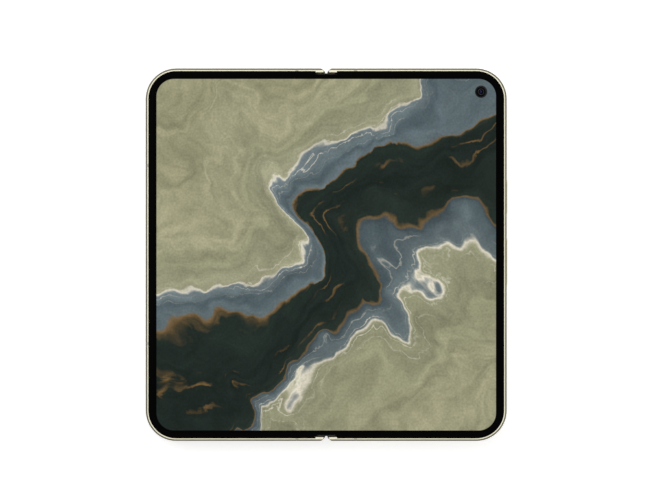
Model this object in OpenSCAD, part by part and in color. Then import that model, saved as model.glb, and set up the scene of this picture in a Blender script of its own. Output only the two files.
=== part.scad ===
// Foldable smartphone, open flat with its folding screen upward.
// X runs across the fold, Y along it, Z out of the screen. Z = 0 is the face of the rear camera island.
// Heights called _b are measured from the back plane of the two halves.

/* [Body] */
// Width of the open phone, across the fold
open_w = 150.4; // [146:0.2:160]
// Length of the phone, along the fold
body_l = 155.2; // [152:0.2:170]
// Thickness of each half
body_t = 5.2; // [5.2:0.05:6]
// Radius of the outer corners
corner_r = 12.7; // [10:0.1:15]
// Rounding of the frame's outer edges
edge_r = 0.55; // [0.3:0.05:0.8]
// Width of the bare metal rim round the screen
rim_w = 1.08; // [0.9:0.02:1.2]
// Depth of the frame wall with its ledge
ledge_w = 2.4; // [2.3:0.05:2.8]
// Gap between the back edges of the halves when open
edge_gap = 0.2; // [0.1:0.05:0.3]
// Gap between the screen lips when folded
fold_gap = 0.4; // [0.3:0.05:0.6]
// Thickness of the frame's inner web
web_t = 0.5; // [0.4:0.05:0.6]
// Width of an antenna break in the frame
break_w = 1.2; // [0.8:0.1:1.6]
// Distance of the antenna breaks in the top and bottom edges from the middle
break_x = 11.6; // [11:0.1:20]
// Distance of the antenna breaks in the cover half's side from the middle
break_y = 36.5; // [34:0.1:50]

/* [Folding screen] */
// Height of the black trim above the screen
trim_h = 0.2; // [0.15:0.05:0.3]
// Width of the black trim
trim_w = 2; // [1.8:0.05:2.3]
// Thickness of the screen layers
panel_t = 0.4; // [0.3:0.05:0.45]
// Thickness of the plates under the screen
plate_t = 0.4; // [0.3:0.05:0.45]
// Gap between the frame and the edge of the screen
panel_gap = 0.1; // [0.05:0.01:0.15]
// Half the width of the stretch of screen that bends
bend_w = 5; // [4.8:0.1:6]
// Radius of the hole for the inner camera
inner_hole_r = 2.5; // [2.2:0.1:3]
// Distance of the inner camera from the outer side edge
inner_cam_dx = 10.7; // [10:0.1:11]
// Distance of the inner camera from the top edge
inner_cam_dy = 9.7; // [9:0.1:10]

/* [Hinge] */
// Distance of each hinge axis from the middle
axis_x = 1.8; // [1.7:0.05:1.9]
// Outer radius of the spine about each axis
spine_r = 2.9; // [2.7:0.05:2.9]
// Wall of the spine cover
spine_wall = 0.45; // [0.35:0.05:0.5]
// Gap between the spine and the halves
spine_gap = 0.15; // [0.1:0.01:0.2]
// Distance of the spine's ends from the top and bottom edges
spine_inset = 2.05; // [2:0.05:2.6]
// Depth of the end knuckles of the halves
knuckle_t = 1.6; // [1.4:0.05:1.7]
// Width of the notch between the halves, at its mouth
notch_w = 4.7; // [4:0.1:5]
// Radius of the notch's rounded flanks
notch_r = 3.3; // [3:0.1:3.6]
// Distance of the outer hinge modules from the middle
module_pitch = 50; // [46:0.5:54]
// Radius of the hinge barrels
barrel_r = 0.9; // [0.85:0.01:0.92]
// Radius of the hinge shafts
shaft_r = 0.35; // [0.3:0.01:0.4]
// Running clearance of the barrels and gears on their shafts
run_gap = 0.02; // [0.01:0.01:0.04]
// Length of an arm's barrel along its shaft
barrel_l = 5; // [4:0.1:6]
// Face width of the timing gears
gear_w = 1.6; // [1.2:0.1:2]
// Thickness of the lugs that hold the shafts
lug_t = 1.2; // [0.8:0.1:1.6]
// Length of the stack of spring washers
washer_l = 1.8; // [1.4:0.1:2.4]
// Thickness of the arms
arm_t = 0.7; // [0.6:0.05:0.75]
// Drop of the arms below the hinge axis
arm_drop = 0.2; // [0.15:0.05:0.25]
// Reach of the arms from the middle
arm_reach = 9.3; // [9:0.1:9.4]
// Radius of the arm screws
screw_r = 0.5; // [0.4:0.05:0.6]
// Teeth on each timing gear
gear_teeth = 8; // [8]
// Pitch radius of the timing gears
pitch_r = 0.8; // [0.8]
// Width of the tilting plates under the bend
wing_w = 6.4; // [6:0.1:6.4]
// Thickness of the tilting plates
wing_t = 0.3; // [0.2:0.05:0.3]

/* [Covers] */
// Thickness of the back glass and the cover glass
glass_t = 0.6; // [0.5:0.05:0.65]
// Width of the frame's edge round the glass
glass_rim = 1.1; // [1:0.05:1.4]
// Width of the bare metal beside the fold, on the back
fold_rim = 3.6; // [3.4:0.1:4]
// Thickness of the outer screen behind the cover glass
cover_panel_t = 0.5; // [0.4:0.05:0.6]

/* [Rear cameras] */
// Height of the camera island above the back
island_h = 3; // [2.5:0.1:3.2]
// Width of the camera island
island_w = 41; // [40:0.5:43]
// Length of the camera island
island_l = 36; // [34:0.5:37]
// Corner radius of the camera island
island_r = 9; // [6:0.5:12]
// Distance of the island from the outer side edge
island_dx = 4; // [3.6:0.1:4.4]
// Distance of the island from the top edge
island_dy = 9.1; // [8.6:0.1:9.4]
// Length of a camera window
window_l = 35; // [34:0.5:36]
// Width of a camera window
window_w = 12.6; // [12:0.1:13.5]
// Thickness of a camera window
window_t = 0.7; // [0.5:0.05:0.9]
// Distance between the two camera windows
window_pitch = 17; // [16:0.1:18]
// Side of the wide and telephoto camera housings
camera_w = 9.6; // [9:0.1:10]
// Radius of the moving lens barrels
lens_r = 3; // [2.6:0.1:3.2]
// Travel of the focusing lenses
focus_travel = 0.3; // [0.2:0.05:0.3]

/* [Keys and tray] */
// Length of the power key
power_l = 14.1; // [12:0.1:16]
// Height of the power key above the middle
power_y = 24.2; // [22:0.1:26]
// Length of the volume key
volume_l = 19.5; // [17:0.1:21]
// Height of the volume key above the middle
volume_y = -3; // [-5:0.1:-1]
// Width of the keys
key_h = 2.2; // [1.8:0.05:2.4]
// Height of the keys above the side wall
key_proud = 0.3; // [0.2:0.05:0.4]
// Gap round the keys
key_gap = 0.1; // [0.08:0.01:0.14]
// Travel of the power key
key_travel = 0.25; // [0.2:0.01:0.25]
// Width of the card tray
tray_w = 12.6; // [12:0.1:13]
// Length of the card tray inside the frame
tray_l = 17; // [16:0.1:18]
// Thickness of the card tray
tray_t = 1.1; // [1:0.05:1.3]

/* [Inner pieces] */
// Play between pieces that lie side by side
play = 0.05; // [0.03:0.01:0.08]
// Thickness of the circuit boards
board_t = 0.7; // [0.6:0.05:0.8]
// Thickness of the shield cans
can_t = 1.1; // [0.9:0.05:1.2]
// Thickness of the charging coil
coil_t = 0.3; // [0.2:0.05:0.35]
// Outer radius of the charging coil
coil_r = 21; // [18:0.5:22]
// Width of the batteries, across the fold
battery_w = 53; // [50:0.5:55]
// Length of the batteries
battery_l = 68; // [60:0.5:70]
// Length of the USB socket
port_l = 7.2; // [6.8:0.1:7.6]
// Width of the USB opening
port_w = 8.34; // [8.34]
// Height of the USB opening
port_h = 2.56; // [2.56]

/* [Hidden] */
$fn = 64;

half_w = open_w / 2;
half_l = body_l / 2;
back_z = island_h;
slit = 0.01;

// Heights above the back plane, from the screen down
screen_b = body_t - trim_h;
panel_b = screen_b - panel_t;
plate_b = panel_b - plate_t;
web_b = plate_b - web_t;
ledge_b = panel_b - 0.1;

// The hinge: folded, the halves stand fold_gap apart
axis_b = body_t + fold_gap / 2 - axis_x;
pocket_r = spine_r + spine_gap;
lip_b = axis_b - pocket_r;
spine_half = half_l - spine_inset;
bend_half = half_l - ledge_w - panel_gap;
cap_t = spine_half - bend_half - panel_gap;
knuckle_r = axis_x - edge_gap / 2;
notch_low = [notch_w / 15, half_l - spine_inset];
notch_top = [notch_w / 2, half_l];
notch_chord = notch_top - notch_low;
notch_centre = (notch_top + notch_low) / 2
    + [notch_chord.y, -notch_chord.x] * sqrt(pow(notch_r / norm(notch_chord), 2) - 1 / 4);
arm_top_b = axis_b - arm_drop;
arm_b = arm_top_b - arm_t;
side_top_b = arm_b - spine_gap;
channel_x = axis_x + pocket_r + 1.35;
channel_floor = 0.5;
riser_x = arm_reach + 0.3;
riser_t = 0.8;
wing_x = riser_x - 0.2 - wing_w;
wing_b = panel_b - 0.1 - wing_t;
wing_half = spine_half - 1;
bay_x = riser_x + riser_t;

// Places along one hinge module, from its first lug
module_ys = [-module_pitch, 0, module_pitch];
washer_y = lug_t;
barrel_y = washer_y + washer_l + play;
gear_y = barrel_y + barrel_l;
last_lug_y = gear_y + gear_w + play;
module_l = last_lug_y + lug_t;
bracket_floor_b = axis_b - spine_r + spine_wall;
bracket_top_b = axis_b - barrel_r - play;
idler_b = axis_b - sqrt(4 * pitch_r * pitch_r - pow(axis_x - pitch_r, 2));
gear_tip_r = pitch_r + 0.09;
gear_root_r = pitch_r - 0.2;
mesh_angle = atan2(idler_b - axis_b, pitch_r - axis_x);
tooth_pitch = 360 / gear_teeth;
pin_r = 0.2;

// Rear cameras
island_x = half_w - island_dx - island_w / 2;
island_y = half_l - island_dy - island_l / 2;
upper_y = island_y + window_pitch / 2;
lower_y = island_y - window_pitch / 2;
outer_cam_x = island_x + window_l / 2 - camera_w / 2 - 2;
inner_x = island_x - window_l / 2 + camera_w / 2 + 2;
window_step = 0.6;
window_b = -island_h + 0.1;
lens_b = window_b + window_t + 0.15 + focus_travel;
lens_l = 2.2;
housing_b = glass_t + play;
housing_top_b = web_b - 0.2;
inner_cam_x = half_w - inner_cam_dx;
inner_cam_y = half_l - inner_cam_dy;
inner_cam_w = 5.6;

// Keys and their switches
key_b = body_t / 2;
key_stem = 1.25;
flange_t = 0.4;
key_floor = 2.45;
switch_t = 0.6;
flex_t = 0.2;
flex_l = 9;
flex_slot_l = 4 * flex_l / 3;
pin_seat = 1.2;
key_room = key_floor + key_travel + switch_t + flex_t + 0.3;

// Batteries, in the middle of their bays, with the magnets under them and the boards above
battery_rise = 28.6;
battery_b = glass_t + coil_t + play;
battery_x = (bay_x + half_w - key_room) / 2;
battery_low = -half_l + battery_rise;
battery_y = battery_low + battery_l / 2;
coil_wall = 9;
cover_bay_b = glass_t + cover_panel_t;
magnet_w = 2;
magnet_l = 12;
magnet_gap = 0.3;
motor_r = 5;
motor_dx = 6.5;
motor_rise = 11;
board_gap = 6;
board_inset = 4;
board_b = 1.6;
board_x = bay_x + board_inset;
board_y = battery_low + battery_l + board_gap;
can_side = 1;
can_rise = 3;
can_gap = 2;
can_top_gap = 3.8;
can_camera_gap = 2.8;
cover_board_rise = 14.6;
cover_board_gap = 4.4;

// USB socket, speaker and card tray
port_x = half_w / 2;
port_b = body_t / 2;
port_wall = 0.3;
tongue_w = port_w - 1.65;
tongue_t = 0.7;
mic_r = 0.4;
mic_dx = 12;
tray_x = half_w / 2;
tray_mic_dx = 16;
tray_b = 2.4;
tray_face_l = tray_w + 1.6;
tray_face_h = 1.9;
tray_face_t = 1.4;
cage_wall = 0.2;
speaker_gap = 2.13;
speaker_x = port_x + port_w / 2 + port_wall + speaker_gap;
speaker_w = half_w - corner_r + 0.7 - speaker_x;
speaker_l = 17;
speaker_wall_gap = 0.2;
slot_count = 3;
slot_margin = 1.6;
slot_end_gap = 5;
slot_h = 1;
slot_gap = 1.4;
slots_w = speaker_w - slot_margin - slot_end_gap;
slot_w = (slots_w - (slot_count - 1) * slot_gap) / slot_count;

module lift(b = 0) {
    translate([0, 0, back_z + b]) children();
}

module along_y(length) {
    rotate([90, 0, 0]) linear_extrude(length, center = true) children();
}

// A flat slot shape with round ends, lying along the first axis
module oblong(length, width) {
    square([length - width, width], center = true);
    for (side = [-1, 1])
        translate([side * (length - width) / 2, 0])
            circle(d = width);
}

module rounded(width, length, radius) {
    square([width - 2 * radius, length], center = true);
    square([width, length - 2 * radius], center = true);
    for (sx = [-1, 1])
        for (sy = [-1, 1])
            translate([sx * (width / 2 - radius), sy * (length / 2 - radius)])
                circle(radius);
}

// Outline of one half from x0 outward, drawn in from the outer edges
module half_outline(inset, x0) {
    radius = corner_r - inset;
    side_x = half_w - corner_r;
    translate([x0, -half_l + inset]) square([side_x - x0, 2 * (half_l - inset)]);
    translate([x0, -half_l + corner_r]) square([half_w - inset - x0, 2 * (half_l - corner_r)]);
    for (side = [-1, 1])
        translate([side_x, side * (half_l - corner_r)])
            circle(radius);
}

// Carries a wall section round the top, the outer side and the bottom of one half
module rim_sweep(x0) {
    run = half_w - corner_r - x0;
    translate([half_w, 0, 0])
        along_y(2 * (half_l - corner_r))
            mirror([1, 0]) children();
    for (side = [0, 1])
        mirror([0, side, 0]) {
            translate([x0, half_l, 0])
                rotate([90, 0, 90])
                    linear_extrude(run)
                        mirror([1, 0]) children();
            translate([half_w - corner_r, half_l - corner_r, 0])
                rotate_extrude(angle = 90)
                    translate([corner_r, 0])
                        mirror([1, 0]) children();
        }
}

// Points of the rounded outer edge, from one face to the side
function edge_points(flip) = [
    for (step = [0 : 5])
        let (turn = flip ? 90 - step * 18 : step * 18)
        [edge_r * (1 - sin(turn)), flip ? body_t - edge_r * (1 - cos(turn)) : edge_r * (1 - cos(turn))]
];

module wall_section() {
    polygon(concat(
        [[glass_rim, 0]],
        edge_points(false),
        edge_points(true),
        [[rim_w, body_t], [rim_w, ledge_b], [ledge_w, ledge_b], [ledge_w, glass_t], [glass_rim, glass_t]]
    ));
}

module trim_section() {
    translate([rim_w, screen_b]) square([trim_w, trim_h]);
    translate([rim_w, ledge_b]) square([ledge_w - rim_w, screen_b - ledge_b + slit]);
}

// Room for the spine, the arms and the plates that tilt
module hinge_room() {
    along_y(2 * (half_l - knuckle_t)) {
        translate([axis_x, axis_b]) circle(pocket_r);
        translate([-1, lip_b]) square([axis_x + 1, body_t]);
    }
    along_y(2 * wing_half + 1)
        translate([0, arm_b]) square([riser_x, body_t]);
}

// The halves' inner ends roll past each other on this round
module knuckle_cut() {
    along_y(body_l + 1)
        difference() {
            translate([-1, axis_b]) square([axis_x + 1, body_t]);
            translate([axis_x, axis_b]) circle(knuckle_r);
        }
    for (side = [0, 1])
        mirror([0, side, 0])
            translate([0, 0, -1])
                linear_extrude(body_t + 2)
                    difference() {
                        polygon([[-1, notch_low.y], notch_low, notch_top,
                            [notch_top.x, half_l + 1], [-1, half_l + 1]]);
                        translate(notch_centre) circle(notch_r);
                    }
}

// The frame of one half, drawn on the right-hand side
module half_frame() {
    difference() {
        union() {
            rim_sweep(edge_gap / 2) wall_section();
            translate([0, 0, web_b])
                linear_extrude(web_t)
                    half_outline(ledge_w - 0.2, riser_x);
            along_y(2 * (half_l - rim_w)) {
                translate([edge_gap / 2, 0]) square([fold_rim - edge_gap / 2, arm_b]);
                translate([edge_gap / 2, glass_t]) square([channel_x - edge_gap / 2, arm_b - glass_t]);
            }
            along_y(2 * (half_l - ledge_w + 0.2)) {
                translate([edge_gap / 2, glass_t]) square([bay_x - edge_gap / 2, channel_floor]);
                translate([riser_x, glass_t]) square([riser_t, web_b - glass_t + 0.2]);
            }
            for (y = module_ys)
                translate([channel_x - 0.1, y - module_l / 2, glass_t])
                    cube([riser_x - channel_x + 0.3, module_l, arm_b - glass_t]);
            for (side = [-1, 1])
                translate([
                    edge_gap / 2, side * (half_l - knuckle_t / 2 - 0.3) - knuckle_t / 2 + 0.3, ledge_b - 0.5
                ])
                    cube([axis_x + spine_r - 0.35, knuckle_t - 0.6, body_t - ledge_b + 0.5]);
        }
        hinge_room();
        knuckle_cut();
        for (y = module_ys)
            arm_screw_places(y)
                translate([0, 0, glass_t + 0.3])
                    cylinder(r = screw_r, h = arm_b);
        edge_breaks() wall_section();
    }
}

// Antenna breaks across the top and the bottom edge
module edge_breaks() {
    for (side = [0, 1])
        mirror([0, side, 0])
            translate([break_x, half_l, 0])
                rotate([90, 0, 90])
                    linear_extrude(break_w)
                        mirror([1, 0]) children();
}

// Antenna breaks across the outer side
module side_breaks() {
    for (side = [-1, 1])
        translate([half_w, side * (break_y + break_w / 2), 0])
            along_y(break_w)
                mirror([1, 0]) children();
}

module arm_screw_places(y) {
    for (side = [-1, 1])
        translate([(channel_x + riser_x) / 2, y + side * (barrel_l / 2 + 1), 0])
            children();
}

module key_slot(length, y) {
    translate([half_w, y, key_b])
        rotate([90, 0, 90]) {
            translate([0, 0, -ledge_w - 0.1])
                linear_extrude(ledge_w - key_stem + 0.15)
                    oblong(length + 1 + 2 * key_gap, key_h + 0.8 + 2 * key_gap);
            translate([0, 0, -ledge_w])
                linear_extrude(ledge_w + 1)
                    oblong(length + 2 * key_gap, key_h + 2 * key_gap);
        }
}

module speaker_slots(side) {
    first_x = speaker_x + slot_margin + slot_w / 2;
    for (i = [0 : slot_count - 1])
        translate([first_x + i * (slot_w + slot_gap), side * (half_l - ledge_w / 2), port_b])
            along_y(ledge_w + 1) oblong(slot_w, slot_h);
}

module mic_hole(x, side) {
    translate([x, side * half_l, port_b])
        rotate([90, 0, 0])
            cylinder(r = mic_r, h = 3 * ledge_w, center = true);
}

module main_frame() {
    color([0.78, 0.76, 0.68])
        lift()
            difference() {
                half_frame();
                key_slot(power_l, power_y);
                key_slot(volume_l, volume_y);
                speaker_slots(-1);
                mic_hole(port_x - mic_dx, -1);
                mic_hole(board_x + mic_dx, 1);
                translate([port_x, -half_l + ledge_w / 2, port_b])
                    along_y(ledge_w + 1)
                        oblong(port_w + 2 * port_wall, port_h + 2 * port_wall);
                translate([port_x - port_w / 2 - port_wall - 0.4, -half_l + ledge_w - 0.3, port_b])
                    cube([port_w + 2 * port_wall + 0.8, port_l, body_t]);
                translate([inner_cam_x, inner_cam_y, 0])
                    linear_extrude(body_t)
                        square(inner_cam_w + 2 * play, center = true);
            }
}

module back_glass() {
    color([0.82, 0.80, 0.73])
        lift()
            linear_extrude(glass_t)
                difference() {
                    half_outline(glass_rim + play, fold_rim + play);
                    translate([island_x, island_y])
                        rounded(island_w + 2 * play, island_l + 2 * play, island_r + play);
                }
}

module window_place() {
    for (y = [upper_y, lower_y])
        translate([island_x, y])
            children();
}

module camera_island() {
    color([0.74, 0.71, 0.62])
        lift(-island_h)
            difference() {
                linear_extrude(island_h + glass_t)
                    translate([island_x, island_y])
                        rounded(island_w, island_l, island_r);
                translate([0, 0, -1])
                    linear_extrude(island_h + window_b + window_t + 1)
                        window_place() oblong(window_l, window_w);
                linear_extrude(island_h + glass_t + 1)
                    window_place() oblong(window_l - 2 * window_step, window_w - 2 * window_step);
            }
}

module camera_windows() {
    color([0.06, 0.06, 0.07])
        lift(window_b)
            linear_extrude(window_t)
                window_place() oblong(window_l - 2 * play, window_w - 2 * play);
}

module camera_body(x, y, length) {
    reach = lens_r + 0.5;
    difference() {
        union() {
            translate([x - length / 2, y - camera_w / 2, housing_b])
                cube([length, camera_w, housing_top_b - housing_b]);
            translate([x, y, window_b + window_t + 0.05])
                cylinder(r = reach, h = housing_b - window_b - window_t);
        }
        translate([x, y, window_b])
            cylinder(r = lens_r + play, h = lens_b + lens_l + 0.2 - window_b);
    }
}

module focus_lens(x, y) {
    difference() {
        translate([x, y, lens_b])
            cylinder(r = lens_r, h = lens_l);
        translate([x, y, lens_b - 0.5])
            cylinder(r1 = lens_r - 0.4, r2 = lens_r - 1.4, h = 1.1);
    }
}

module wide_camera() {
    color([0.12, 0.12, 0.13]) lift() camera_body(outer_cam_x, upper_y, camera_w);
}

module wide_lens() {
    color([0.05, 0.06, 0.09]) lift() focus_lens(outer_cam_x, upper_y);
}

module ultrawide_camera() {
    color([0.12, 0.12, 0.13]) lift() camera_body(inner_x, upper_y, camera_w - 1);
    color([0.05, 0.06, 0.09])
        lift() focus_lens(inner_x, upper_y);
    color([0.12, 0.12, 0.13])
        lift(lens_b + lens_l - 0.2)
            translate([inner_x, upper_y, 0])
                cylinder(r = lens_r + play + 0.1, h = 0.6);
}

module tele_camera() {
    color([0.12, 0.12, 0.13]) lift() camera_body(outer_cam_x, lower_y, camera_w);
}

module tele_lens() {
    color([0.05, 0.06, 0.09]) lift() focus_lens(outer_cam_x, lower_y);
}

module flash_lens() {
    color([0.93, 0.90, 0.78])
        lift(window_b + window_t)
            translate([inner_x, lower_y, 0])
                cylinder(r = 2, h = board_b - window_b - window_t);
}

module inner_camera() {
    color([0.1, 0.1, 0.11])
        lift()
            translate([inner_cam_x, inner_cam_y, 0]) {
                translate([0, 0, (board_b + web_b) / 2])
                    cube([inner_cam_w, inner_cam_w, web_b - board_b], center = true);
                translate([0, 0, web_b])
                    cylinder(r = inner_hole_r - 0.2, h = panel_b - web_b);
            }
}

module inner_camera_window() {
    color([0.03, 0.03, 0.05])
        lift(panel_b)
            translate([inner_cam_x, inner_cam_y, 0])
                cylinder(r = inner_hole_r - play, h = panel_t);
}

module half_trim() {
    lift()
        difference() {
            rim_sweep(axis_x + spine_r - 0.2) trim_section();
            along_y(2 * (half_l - knuckle_t))
                translate([axis_x, axis_b]) circle(pocket_r);
        }
}

module screen_outline(x0) {
    half_outline(ledge_w + panel_gap, x0);
}

module half_bend() {
    lift(panel_b)
        linear_extrude(panel_t)
            translate([0, -bend_half])
                square([bend_w, 2 * bend_half]);
}

module half_plate() {
    lift(plate_b)
        linear_extrude(plate_t)
            screen_outline(riser_x);
}

module main_trim() {
    color([0.05, 0.05, 0.05]) half_trim();
}

module main_screen() {
    color([0.35, 0.38, 0.33])
        lift(panel_b)
            linear_extrude(panel_t)
                difference() {
                    screen_outline(bend_w);
                    translate([inner_cam_x, inner_cam_y]) circle(inner_hole_r);
                }
}

module main_bend() {
    color([0.35, 0.38, 0.33]) half_bend();
}

module main_plate() {
    color([0.5, 0.5, 0.5])
        difference() {
            half_plate();
            translate([inner_cam_x, inner_cam_y, 0]) cylinder(r = inner_hole_r, h = 2 * body_t + back_z);
        }
}

module main_antenna_breaks() {
    color([0.68, 0.66, 0.58]) lift() edge_breaks() wall_section();
}

// Tooth outline by polar steps, narrow enough to leave backlash
module gear_outline(phase) {
    rotate(phase)
        polygon([
            for (i = [0 : gear_teeth - 1])
                for (corner = [[-0.34, gear_root_r], [-0.19, pitch_r], [-0.09, gear_tip_r],
                        [0.09, gear_tip_r], [0.19, pitch_r], [0.34, gear_root_r]])
                    let (turn = (i + corner[0]) * tooth_pitch)
                    [corner[1] * cos(turn), corner[1] * sin(turn)]
        ]);
}

// One arm: a barrel on its shaft, its timing gear, and the flat that is screwed to the frame
module hinge_arm(y, phase) {
    translate([axis_x, y - module_l / 2, axis_b])
        difference() {
            union() {
                translate([0, barrel_y, 0])
                    rotate([-90, 0, 0]) cylinder(r = barrel_r, h = barrel_l);
                translate([0, gear_y + gear_w / 2, 0])
                    along_y(gear_w + 2 * slit) gear_outline(phase);
                translate([0, barrel_y, -arm_drop - arm_t])
                    cube([arm_reach - axis_x, barrel_l, arm_t]);
                translate([channel_x - axis_x, 0, -arm_drop - arm_t])
                    cube([arm_reach - channel_x, module_l, arm_t]);
            }
            rotate([-90, 0, 0]) cylinder(r = shaft_r + run_gap, h = module_l);
        }
}

module half_arms(phase) {
    lift()
        difference() {
            union() {
                for (y = module_ys)
                    hinge_arm(y, phase);
            }
            for (y = module_ys)
                arm_screw_places(y) cylinder(r = screw_r, h = axis_b);
        }
}

module half_arm_screws() {
    lift()
        for (y = module_ys)
            arm_screw_places(y) {
                translate([0, 0, glass_t + 0.4]) cylinder(r = screw_r, h = arm_top_b - glass_t - 0.4);
                translate([0, 0, arm_top_b]) cylinder(r = screw_r + 0.35, h = 0.25);
            }
}

module half_wing() {
    lift(wing_b)
        translate([wing_x, -wing_half, 0])
            cube([wing_w, 2 * wing_half, wing_t]);
}

module half_flex() {
    lift(arm_b)
        translate([0, module_pitch / 2 - flex_l / 2, 0])
            cube([channel_x, flex_l, 0.12]);
}

module main_arms() {
    color([0.62, 0.63, 0.65]) half_arms(mesh_angle);
}

module main_arm_screws() {
    color([0.35, 0.35, 0.36]) half_arm_screws();
}

module main_wing_plate() {
    color([0.55, 0.56, 0.58]) half_wing();
}

module main_flex() {
    color([0.45, 0.27, 0.08]) half_flex();
}

module camera_clearance(margin) {
    for (place = [[outer_cam_x, upper_y], [inner_x, upper_y], [outer_cam_x, lower_y]])
        translate(place)
            square(camera_w + margin, center = true);
    translate([inner_cam_x, inner_cam_y]) square(inner_cam_w + margin, center = true);
}

module main_board() {
    color([0.07, 0.22, 0.14])
        lift(board_b)
            linear_extrude(board_t)
                difference() {
                    intersection() {
                        half_outline(key_room, board_x);
                        translate([board_x, board_y]) square([half_w, half_l - board_y]);
                    }
                    camera_clearance(0.6);
                }
}

// Two cans between the board's inner edge and the cameras
module shield_cans() {
    can_x = board_x + can_side;
    can_w = inner_x - camera_w / 2 - can_camera_gap - can_x;
    can_low = board_y + can_rise;
    can_l = (half_l - key_room - can_top_gap - can_gap - can_low) / 2;
    color([0.72, 0.72, 0.74])
        lift(board_b + board_t)
            linear_extrude(can_t) {
                translate([can_x, can_low]) square([can_w, can_l]);
                translate([can_x, can_low + can_l + can_gap]) square([can_w - can_gap, can_l]);
            }
}

module main_battery() {
    color([0.16, 0.16, 0.17])
        lift(battery_b)
            linear_extrude(web_b - battery_b - 0.15)
                translate([battery_x, battery_y])
                    rounded(battery_w, battery_l, 2);
}

module charging_coil() {
    color([0.72, 0.42, 0.2])
        lift(glass_t)
            translate([battery_x, battery_y, 0])
                difference() {
                    cylinder(r = coil_r, h = coil_t);
                    translate([0, 0, -1]) cylinder(r = coil_r - coil_wall, h = coil_t + 2);
                }
}

module usb_port() {
    color([0.6, 0.6, 0.62])
        lift(port_b)
            translate([port_x, -half_l, 0])
                rotate([-90, 0, 0]) {
                    difference() {
                        translate([0, 0, 0.2])
                            linear_extrude(port_l)
                                oblong(port_w + 2 * port_wall, port_h + 2 * port_wall);
                        linear_extrude(port_l - 0.4)
                            oblong(port_w, port_h);
                    }
                    translate([0, 0, 1])
                        linear_extrude(port_l - 1)
                            square([tongue_w, tongue_t], center = true);
                }
}

module bottom_speaker() {
    color([0.13, 0.13, 0.14])
        lift(glass_t)
            translate([speaker_x, -half_l + ledge_w + speaker_wall_gap, 0])
                cube([speaker_w, speaker_l, web_b - glass_t - 0.15]);
}

module vibration_motor() {
    color([0.66, 0.66, 0.68])
        lift(glass_t)
            translate([board_x + motor_dx, -half_l + motor_rise, 0])
                cylinder(r = motor_r, h = web_b - glass_t - 0.2);
}

// Magnets that hold the folded halves together, in a row under the battery
module half_magnets(low_b) {
    end_x = half_w - key_room;
    lift(low_b)
        for (i = [1, 2])
            translate([end_x - i * (magnet_l + magnet_gap), battery_low - magnet_gap - magnet_w, 0])
                cube([magnet_l, magnet_w, web_b - low_b]);
}

module main_magnets() {
    color([0.6, 0.6, 0.63]) half_magnets(glass_t + play);
}

module cover_magnets() {
    color([0.6, 0.6, 0.63]) across() half_magnets(cover_bay_b + play);
}

// A key with the flange behind the wall that keeps it in
module side_key(length, y, flange_gap) {
    flange_x = key_stem + flange_gap;
    translate([half_w, y, key_b])
        rotate([90, 0, 90]) {
            translate([0, 0, -flange_x - flange_t])
                linear_extrude(flange_t)
                    oblong(length + 1, key_h + 0.8);
            translate([0, 0, -flange_x - slit])
                linear_extrude(key_proud + flange_x + slit)
                    oblong(length, key_h);
        }
}

module key_nub(y) {
    translate([half_w - key_floor, y, key_b])
        rotate([0, 90, 0])
            cylinder(r = 0.6, h = key_floor - key_stem - 0.2);
}

module power_key() {
    color([0.69, 0.68, 0.58])
        lift() {
            side_key(power_l, power_y, play);
            key_nub(power_y);
        }
}

module volume_key() {
    color([0.69, 0.68, 0.58])
        lift() {
            side_key(volume_l, volume_y, 0.25);
            for (side = [-1, 1])
                key_nub(volume_y + side * volume_l / 4);
        }
}

module key_switches() {
    strip_x = half_w - key_floor - key_travel - play - switch_t - flex_t;
    strip_low = volume_y - volume_l / 2;
    strip_high = power_y + power_l / 2;
    color([0.55, 0.36, 0.12])
        lift()
            translate([strip_x, strip_low, key_b - key_h / 2])
                cube([flex_t, strip_high - strip_low, web_b - key_b + key_h / 2]);
    color([0.75, 0.75, 0.76])
        lift()
            for (y = [power_y, volume_y - volume_l / 4, volume_y + volume_l / 4])
                translate([strip_x + flex_t - slit, y, key_b])
                    rotate([0, 90, 0])
                        cylinder(r1 = 1.1, r2 = 0.8, h = switch_t + slit);
}

// The cover half mirrors the main half across the fold
module across() {
    mirror([1, 0, 0]) children();
}

module cover_frame() {
    color([0.78, 0.76, 0.68])
        across()
            lift()
                difference() {
                    half_frame();
                    translate([tray_x, -half_l, tray_b])
                        rotate([90, 0, 0]) {
                            translate([0, 0, -tray_face_t - play])
                                linear_extrude(tray_face_t + 1)
                                    oblong(tray_face_l + 2 * play, tray_face_h + 2 * play);
                            translate([0, 0, -ledge_w - 1])
                                linear_extrude(ledge_w + 1)
                                    square([tray_w + 2 * key_gap, tray_t + 2 * key_gap], center = true);
                        }
                    mic_hole(tray_x + tray_mic_dx, -1);
                    speaker_slots(1);
                    side_breaks() wall_section();
                }
}

module cover_glass() {
    color([0.03, 0.03, 0.035])
        across()
            lift()
                linear_extrude(glass_t)
                    half_outline(glass_rim + play, fold_rim + play);
}

cover_cam_x = half_w / 2;
cover_cam_w = 5;
cover_cam_y = half_l - 2 * glass_rim - cover_cam_w;

module cover_screen() {
    color([0.1, 0.1, 0.12])
        across()
            lift(glass_t)
                linear_extrude(cover_panel_t)
                    difference() {
                        half_outline(ledge_w + play, bay_x + play);
                        translate([cover_cam_x, cover_cam_y]) circle(r = 2);
                    }
}

module cover_camera() {
    color([0.1, 0.1, 0.11])
        across()
            lift()
                translate([cover_cam_x, cover_cam_y, 0]) {
                    translate([0, 0, glass_t]) cylinder(r = 1.9, h = cover_panel_t + 0.2);
                    translate([0, 0, (cover_bay_b + web_b) / 2])
                        cube([cover_cam_w, cover_cam_w, web_b - cover_bay_b - play], center = true);
                }
}

module cover_trim() {
    color([0.05, 0.05, 0.05]) across() half_trim();
}

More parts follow.
